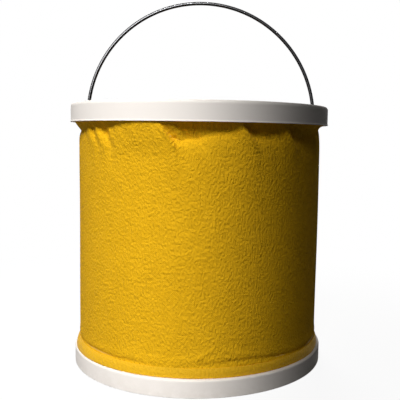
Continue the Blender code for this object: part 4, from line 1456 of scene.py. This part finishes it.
half_angle = degrees(SEAM_HALF_WIDTH / WALL_RADIUS)
seam_angles = SEAM_ANGLE + np.linspace(-half_angle, half_angle, SEAM_COLUMNS + 1)


def seam_strip(name, angles, rows, low_offset, high_offset, material, round_edge):
    """A strip along the wall between two offsets from it, thinned towards its long edges."""
    a, z = np.meshgrid(angles, rows, indexing="ij")
    share = np.abs(np.linspace(-1, 1, len(angles)))[:, None, None]
    thin = 1 - round_edge * share ** 8
    low, high = on_wall(a, z, low_offset), on_wall(a, z, high_offset)
    if abs(high_offset) > abs(low_offset):
        high = low + (high - low) * thin
    else:
        low = high + (low - high) * thin
    points = np.concatenate([high, low[:, ::-1]], axis=1)
    step = radians(angles[1] - angles[0]) * WALL_RADIUS
    row_heights = np.concatenate([rows, rows[::-1], rows[:1]])

    def surface(column, row):
        return (column * step, row_heights[row])

    return grid_mesh(name, points, surface, [material], round_about=False)


back_seam = seam_strip("felled_back_seam", seam_angles, heights(*SEAM_ROWS), SEAM_LIFT, SEAM_PROUD,
                       wall_canvas, 0.9)
report(back_seam)

gap_angle = degrees(SEAM_STITCH_HALF_GAP / WALL_RADIUS)
stitch_heights = np.linspace(CLOTH_TOP - SEAM_STITCH_TOP, band_top + SEAM_STITCH_FOOT, SEAM_STITCH_STEPS)
seam_stitches = []
for number, side in enumerate((-1, 1)):
    line = on_wall(np.full(stitch_heights.shape, SEAM_ANGLE + side * gap_angle), stitch_heights,
                   SEAM_PROUD + SEAM_THREAD_LIFT)
    name = f"back_seam_stitches_{number + 1}"
    seam_stitches.append(stitch_row(name, line, False, SEAM_STITCH_SEED + number))

# %% [markdown]
# Inside, a film of sealing tape covers the seam, and another runs round the corner between wall and floor.

# %% Sealing tapes
TAPE_COLUMNS = 24
TAPE_ROWS = ((1.0, 1.2), (34, 6.0), (190, 2.0))
FILM_BEND = 1.6 * MM
FILM_WIDTH = 10.8 * MM           # of the half that lies on the floor
FILM_GAP = 0.2 * MM              # between the bend's ends and the next point of a leg
FILM_LEG_STEPS = 8
FILM_BEND_STEPS = 6

tape_half_angle = degrees((seam_tape_high.x - seam_tape_low.x) / 2 / WALL_RADIUS)
tape_angles = SEAM_ANGLE + np.linspace(-tape_half_angle, tape_half_angle, TAPE_COLUMNS + 1)
wall_tape = seam_strip("inside_seam_tape", tape_angles, heights(*TAPE_ROWS), -(CLOTH + CLEARANCE + TAPE),
                       -(CLOTH + CLEARANCE), seam_film, 0.6)
report(wall_tape)

film_level = floor_tape_low.z + TAPE / 2
film_upright = floor_tape_high.x - TAPE / 2
film_corner = (film_upright - FILM_BEND, film_level + FILM_BEND)
film_reach = floor_tape_high.z
lying = np.linspace(FILM_WIDTH, FILM_BEND + FILM_GAP, FILM_LEG_STEPS)
standing = np.linspace(film_corner[1] + FILM_GAP, film_reach, FILM_LEG_STEPS)
film_line = [(film_upright - r, film_level) for r in lying]
film_line += arc(film_corner, FILM_BEND, 270, 360, FILM_BEND_STEPS)
film_line += [(film_upright, z) for z in standing]
floor_tape = turned("floor_corner_tape", thick_line(film_line, TAPE), [seam_film])
report(floor_tape)

# %% [markdown]
# The floor is a disc of the same canvas. It rests on the clamp ring's lip and hangs a little slack inside
# it, with shallow wrinkles that run in from the edge.

# %% Floor
FLOOR_COLUMNS = 192
FLOOR_RINGS = 46
FLOOR_SAG = 2.2 * MM
EDGE_WRINKLES = ((0.45, 7, 0.8, 9), (0.30, 17, 2.6, -22), (0.20, 31, 1.1, 40))  # share, waves, phase, slant
EDGE_WRINKLE_REACH = 26 * MM     # inwards from the clamp ring's lip
STILL_MIDDLE = 30 * MM           # the middle is too tight to buckle
floor_radius = floor_high.x
floor_level = floor_high.z


def floor_height(turn, r):
    """Top of the floor cloth."""
    inside = np.clip(1 - r / PLATE_INSIDE, 0, 1)
    sag = FLOOR_SAG * np.clip(1.6 * inside, 0, 1) * (2 - np.clip(1.6 * inside, 0, 1))
    slack = np.clip(8 * inside, 0, 1) * np.clip(r / STILL_MIDDLE, 0, 1)
    wrinkle = bell(PLATE_INSIDE - r, EDGE_WRINKLE_REACH) * sum(
        share * np.cos(waves * turn + phase + slant * r) for share, waves, phase, slant in EDGE_WRINKLES)
    buckle = 0.35 * np.sin(38 * r * np.cos(turn - 0.7) + 1.0) * np.cos(31 * r * np.sin(turn - 0.7))
    return floor_level - sag + MM * slack * (0.5 * wrinkle + buckle * 0.5)


def floor_mesh(name):
    bm = bmesh.new()
    layer = bm.loops.layers.uv.new("surface")
    turns = np.linspace(0, tau, FLOOR_COLUMNS, endpoint=False)
    rings = np.linspace(0, 1, FLOOR_RINGS + 1)[1:] ** 0.85 * floor_radius
    skins = []
    for drop in (0.0, CLOTH):
        centre = bm.verts.new((0, 0, float(floor_height(0.0, 0.0)) - drop))
        skin = [[bm.verts.new((r * cos(t), r * sin(t), float(floor_height(t, r)) - drop)) for t in turns]
                for r in rings]
        for i in range(FLOOR_COLUMNS):
            j = (i + 1) % FLOOR_COLUMNS
            bm.faces.new((centre, skin[0][i], skin[0][j]) if drop == 0 else (centre, skin[0][j], skin[0][i]))
            for a, b in zip(skin, skin[1:]):
                corners = (a[i], b[i], b[j], a[j])
                bm.faces.new(corners if drop == 0 else corners[::-1])
        skins.append(skin)
    for i in range(FLOOR_COLUMNS):
        j = (i + 1) % FLOOR_COLUMNS
        bm.faces.new((skins[0][-1][i], skins[1][-1][i], skins[1][-1][j], skins[0][-1][j]))
    for face in bm.faces:
        for loop in face.loops:
            loop[layer].uv = loop.vert.co.xy
    mesh = mesh_of(name, bm)
    shade(mesh)
    return link_mesh(name, mesh, coated_inside)


floor_cloth = floor_mesh("floor_canvas")
report(floor_cloth)

# %% [markdown]
# The hoops and the clips stay as the frame has them, hidden in their channels, and only get a real finish.

# %% Finish of the pieces that stay
for node_name in ("top_hoop_wire", "bottom_hoop_wire", "bail_clip_left", "bail_clip_right"):
    kept = frame["nodes"][node_name]
    kept.data.materials.clear()
    kept.data.materials.append(hoop_steel)
print("kept nodes finished")

# %% [markdown]
# Each piece rides on the body that carries it. The wall and all that is sewn to it get meshes of their own,
# and the share of its height that the wall keeps when the bucket is folded is worked out.

# %% Which body carries what
def dress(piece, body, slot, *nodes):
    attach(piece, body)
    if nodes:
        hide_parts(*nodes)


dress(top_rim, "top", "rim_plastic", "top_rim")
dress(top_clamp, "top", "clamp_plastic", "top_clamp_ring")
dress(top_fingers, "top", "clamp_plastic", "top_clamp_ring")
dress(top_hem, "top", "canvas", "cloth_wall")
dress(bail, "bail", "bail_steel", "bail_handle")
dress(bottom_rim, "base", "rim_plastic", "bottom_rim")
dress(bottom_clamp, "base", "clamp_plastic", "bottom_clamp_ring")
dress(plate_catches, "base", "clamp_plastic", "bottom_clamp_ring")
dress(foot_hem, "base", "canvas", "cloth_wall")
dress(cloth, "base", "canvas", "cloth_wall")
dress(back_seam, "base", "canvas", "cloth_wall")
dress(wall_tape, "base", "tape", "wall_seam_tape")
dress(binding, "base", "tape", "bottom_hem_binding")
dress(binding_stitches, "base", "tape", "bottom_hem_binding")
dress(floor_tape, "base", "tape", "floor_seam_tape")
dress(floor_cloth, "base", "canvas", "base_cloth")
for row in seam_stitches:
    dress(row, "base", "tape")

FOLD_ROOM = 0.3 * MM             # left above the folded cloth, so that it lies under the clamp ring's foot
folded_share = 1 - (COLLAPSE_TRAVEL + FOLD_ROOM) / (CLOTH_TOP - CLOTH_BOTTOM)
for piece in (cloth, back_seam, wall_tape, *seam_stitches):
    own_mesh(piece)
print("the wall keeps", round(folded_share, 3), "of its height when folded")

# %% [markdown]

print("cloth pieces dressed")

# %% [markdown]
# The studio is white all round, but the bucket is lit from the left by a column of high lamps. White shows
# to the camera, in metal and through glass by the Light Path node, and to everything else the surroundings
# are dim, so that the shaded side stays deep as in the photograph.

# %% Surroundings
DIM_WORLD = 0.015
DIM_FLOOR = 0.10
FLOOR_SIZE = 6.0
FLOOR_DROP = 0.1 * MM            # keeps the floor off the foot ring
SHADOW_SHARE = 0.07              # how much of the real floor shows under the plain white
SHADOW_FADE = (0.18, 0.60)       # metres from the bucket's axis over which the shadow fades out


def add_seen_white(tree):
    """1 for rays from the camera, off metal and through glass, and 0 for all others."""
    path = tree.nodes.new("ShaderNodeLightPath").outputs
    seen = path["Is Camera Ray"]
    for name in ("Is Glossy Ray", "Is Transmission Ray"):
        seen = tree_node(tree, "ShaderNodeMath", {"operation": "MAXIMUM"}, {0: seen, 1: path[name]})
    return seen


world = bpy.data.worlds.new("studio_world")
bpy.context.scene.world = world
world.use_nodes = True
background = world.node_tree.nodes["Background"]
background.inputs["Color"].default_value = (1, 1, 1, 1)
strength = tree_node(world.node_tree, "ShaderNodeMapRange", {}, {
    "Value": add_seen_white(world.node_tree), "To Min": DIM_WORLD, "To Max": 1.0})
world.node_tree.links.new(strength, background.inputs["Strength"])


def studio_floor(name):
    """White to the camera, with the shadow kept near the bucket and fading out away from it."""
    r = Recipe(name)
    x, y, _ = r.parts(r.place())
    away = ((x * x + y * y) ** 0.5).between(*SHADOW_FADE)
    seen = Signal(r, add_seen_white(r.tree))
    plain = r.node("ShaderNodeEmission", {}, {"Color": (1.0, 1.0, 1.0), "Strength": 1.0})
    lit = r.node("ShaderNodeBsdfDiffuse", {}, {"Color": r.mixed(seen, (DIM_FLOOR,) * 3, (1.0, 1.0, 1.0))})
    whiteness = seen * (1.0 - SHADOW_SHARE * (1.0 - away))
    surface = r.node("ShaderNodeMixShader", {}, {0: whiteness, 1: lit, 2: plain})
    r.feed(r.tree.nodes["Material Output"].inputs["Surface"], surface)
    r.tree.nodes.remove(r.shader)
    return r.material


half = FLOOR_SIZE / 2
ground_mesh = bpy.data.meshes.new("studio_floor")
corners = [(-half, -half, 0), (half, -half, 0), (half, half, 0), (-half, half, 0)]
ground_mesh.from_pydata(corners, [], [(0, 1, 2, 3)])
ground = link_mesh("studio_floor", ground_mesh, studio_floor("studio_floor"))
ground.location.z = -FLOOR_DROP
print("floor", FLOOR_SIZE, "m")

# %% [markdown]
# The key light is a column of spots, one above the other, high up and so far away that the wall is as
# bright below as above. Together they soften the rim's shadow on the cloth. They are aimed past the
# bucket's left side: their beams end softly across the front, which is why the right side falls dark so
# quickly. A weak soft lamp at the left opens the shadow under the rim, a strip that is linked to the bail
# alone puts the long glint on its wire, and another lamp keeps the back plain to see.

# %% Lamps
LAMP_CENTRE_Z = 0.13
BEAM_CENTRE_Z = -0.117
KEY_AZIMUTH, KEY_DISTANCE = -12.0, 4.5
KEY_HEIGHT_ANGLES = np.linspace(34.0, 51.0, 6)
KEY_WATTS = 1033.0               # of all the spots together
KEY_SIZE = 0.05                  # radius of each spot
GLINT_HEIGHT = 0.80              # of the strip whose reflection is the glint on the wire
GLINT_ROLL = radians(30.0)       # turns the strip along the bail's left shoulder
SOFT_LAMPS = {
    # degrees from the front; metres from the axis, height, side; watts
    "fill_lamp": (-42, 1.4, 0.45, 0.30, 1.3),
    "glint_lamp": (-24, 1.8, 1.06, 1.30, 400.0),
    "back_lamp": (186, 1.4, 1.15, 0.60, 22.0),
}
BEAM_AXIS = -3.0                 # metres from the bucket's axis to the beam's, to the lamp's left
BEAM_FULL, BEAM_END = -0.118, 0.105  # where the beam starts to fade and where it ends, measured alike


def stand_lamp(name, data, place, target):
    lamp = bpy.data.objects.new(name, data)
    lamp.location = place
    lamp.rotation_mode = "QUATERNION"
    lamp.rotation_quaternion = (Vector(target) - Vector(place)).to_track_quat("-Z", "Y")
    bpy.context.scene.collection.objects.link(lamp)
    return lamp


def polar(azimuth, distance, height):
    """A place at an azimuth in degrees from the front."""
    turn = radians(azimuth)
    return Vector((distance * sin(turn), -distance * cos(turn), height))


def soft_lamp(name):
    """A square lamp that faces the bucket's middle."""
    azimuth, distance, height, size, watts = SOFT_LAMPS[name]
    data = bpy.data.lights.new(name, "AREA")
    data.size = size
    data.energy = watts
    return stand_lamp(name, data, polar(azimuth, distance, height), (0, 0, LAMP_CENTRE_Z))


def feathered_spot(name, height_angle, watts):
    """A spot whose beam is centred beside the bucket, so that its soft edge crosses the front."""
    reach = KEY_DISTANCE * cos(radians(height_angle))
    place = polar(KEY_AZIMUTH, reach, LAMP_CENTRE_Z + KEY_DISTANCE * sin(radians(height_angle)))
    target = polar(KEY_AZIMUTH + 90, BEAM_AXIS, BEAM_CENTRE_Z)
    outer = atan2(BEAM_END - BEAM_AXIS, KEY_DISTANCE)
    inner = atan2(BEAM_FULL - BEAM_AXIS, KEY_DISTANCE)
    data = bpy.data.lights.new(name, "SPOT")
    data.energy = watts
    data.shadow_soft_size = KEY_SIZE
    data.spot_size = 2 * outer
    data.spot_blend = 1 - (1 - cos(inner)) / (1 - cos(outer))
    return stand_lamp(name, data, place, target)


key_lamps = [feathered_spot(f"key_lamp_{i + 1}", height_angle, KEY_WATTS / len(KEY_HEIGHT_ANGLES))
             for i, height_angle in enumerate(KEY_HEIGHT_ANGLES)]
fill_lamp = soft_lamp("fill_lamp")
glint_lamp = soft_lamp("glint_lamp")
glint_lamp.data.shape = "RECTANGLE"
glint_lamp.data.size_y = GLINT_HEIGHT
glint_lamp.rotation_quaternion @= Quaternion((0.0, 0.0, 1.0), GLINT_ROLL)
only_the_bail = bpy.data.collections.new("only_the_bail")
only_the_bail.objects.link(bail)
glint_lamp.light_linking.receiver_collection = only_the_bail
back_lamp = soft_lamp("back_lamp")
bpy.context.scene.view_settings.view_transform = "Standard"
print("lamps", len(key_lamps), "key spots", KEY_WATTS, fill_lamp.data.energy, back_lamp.data.energy)
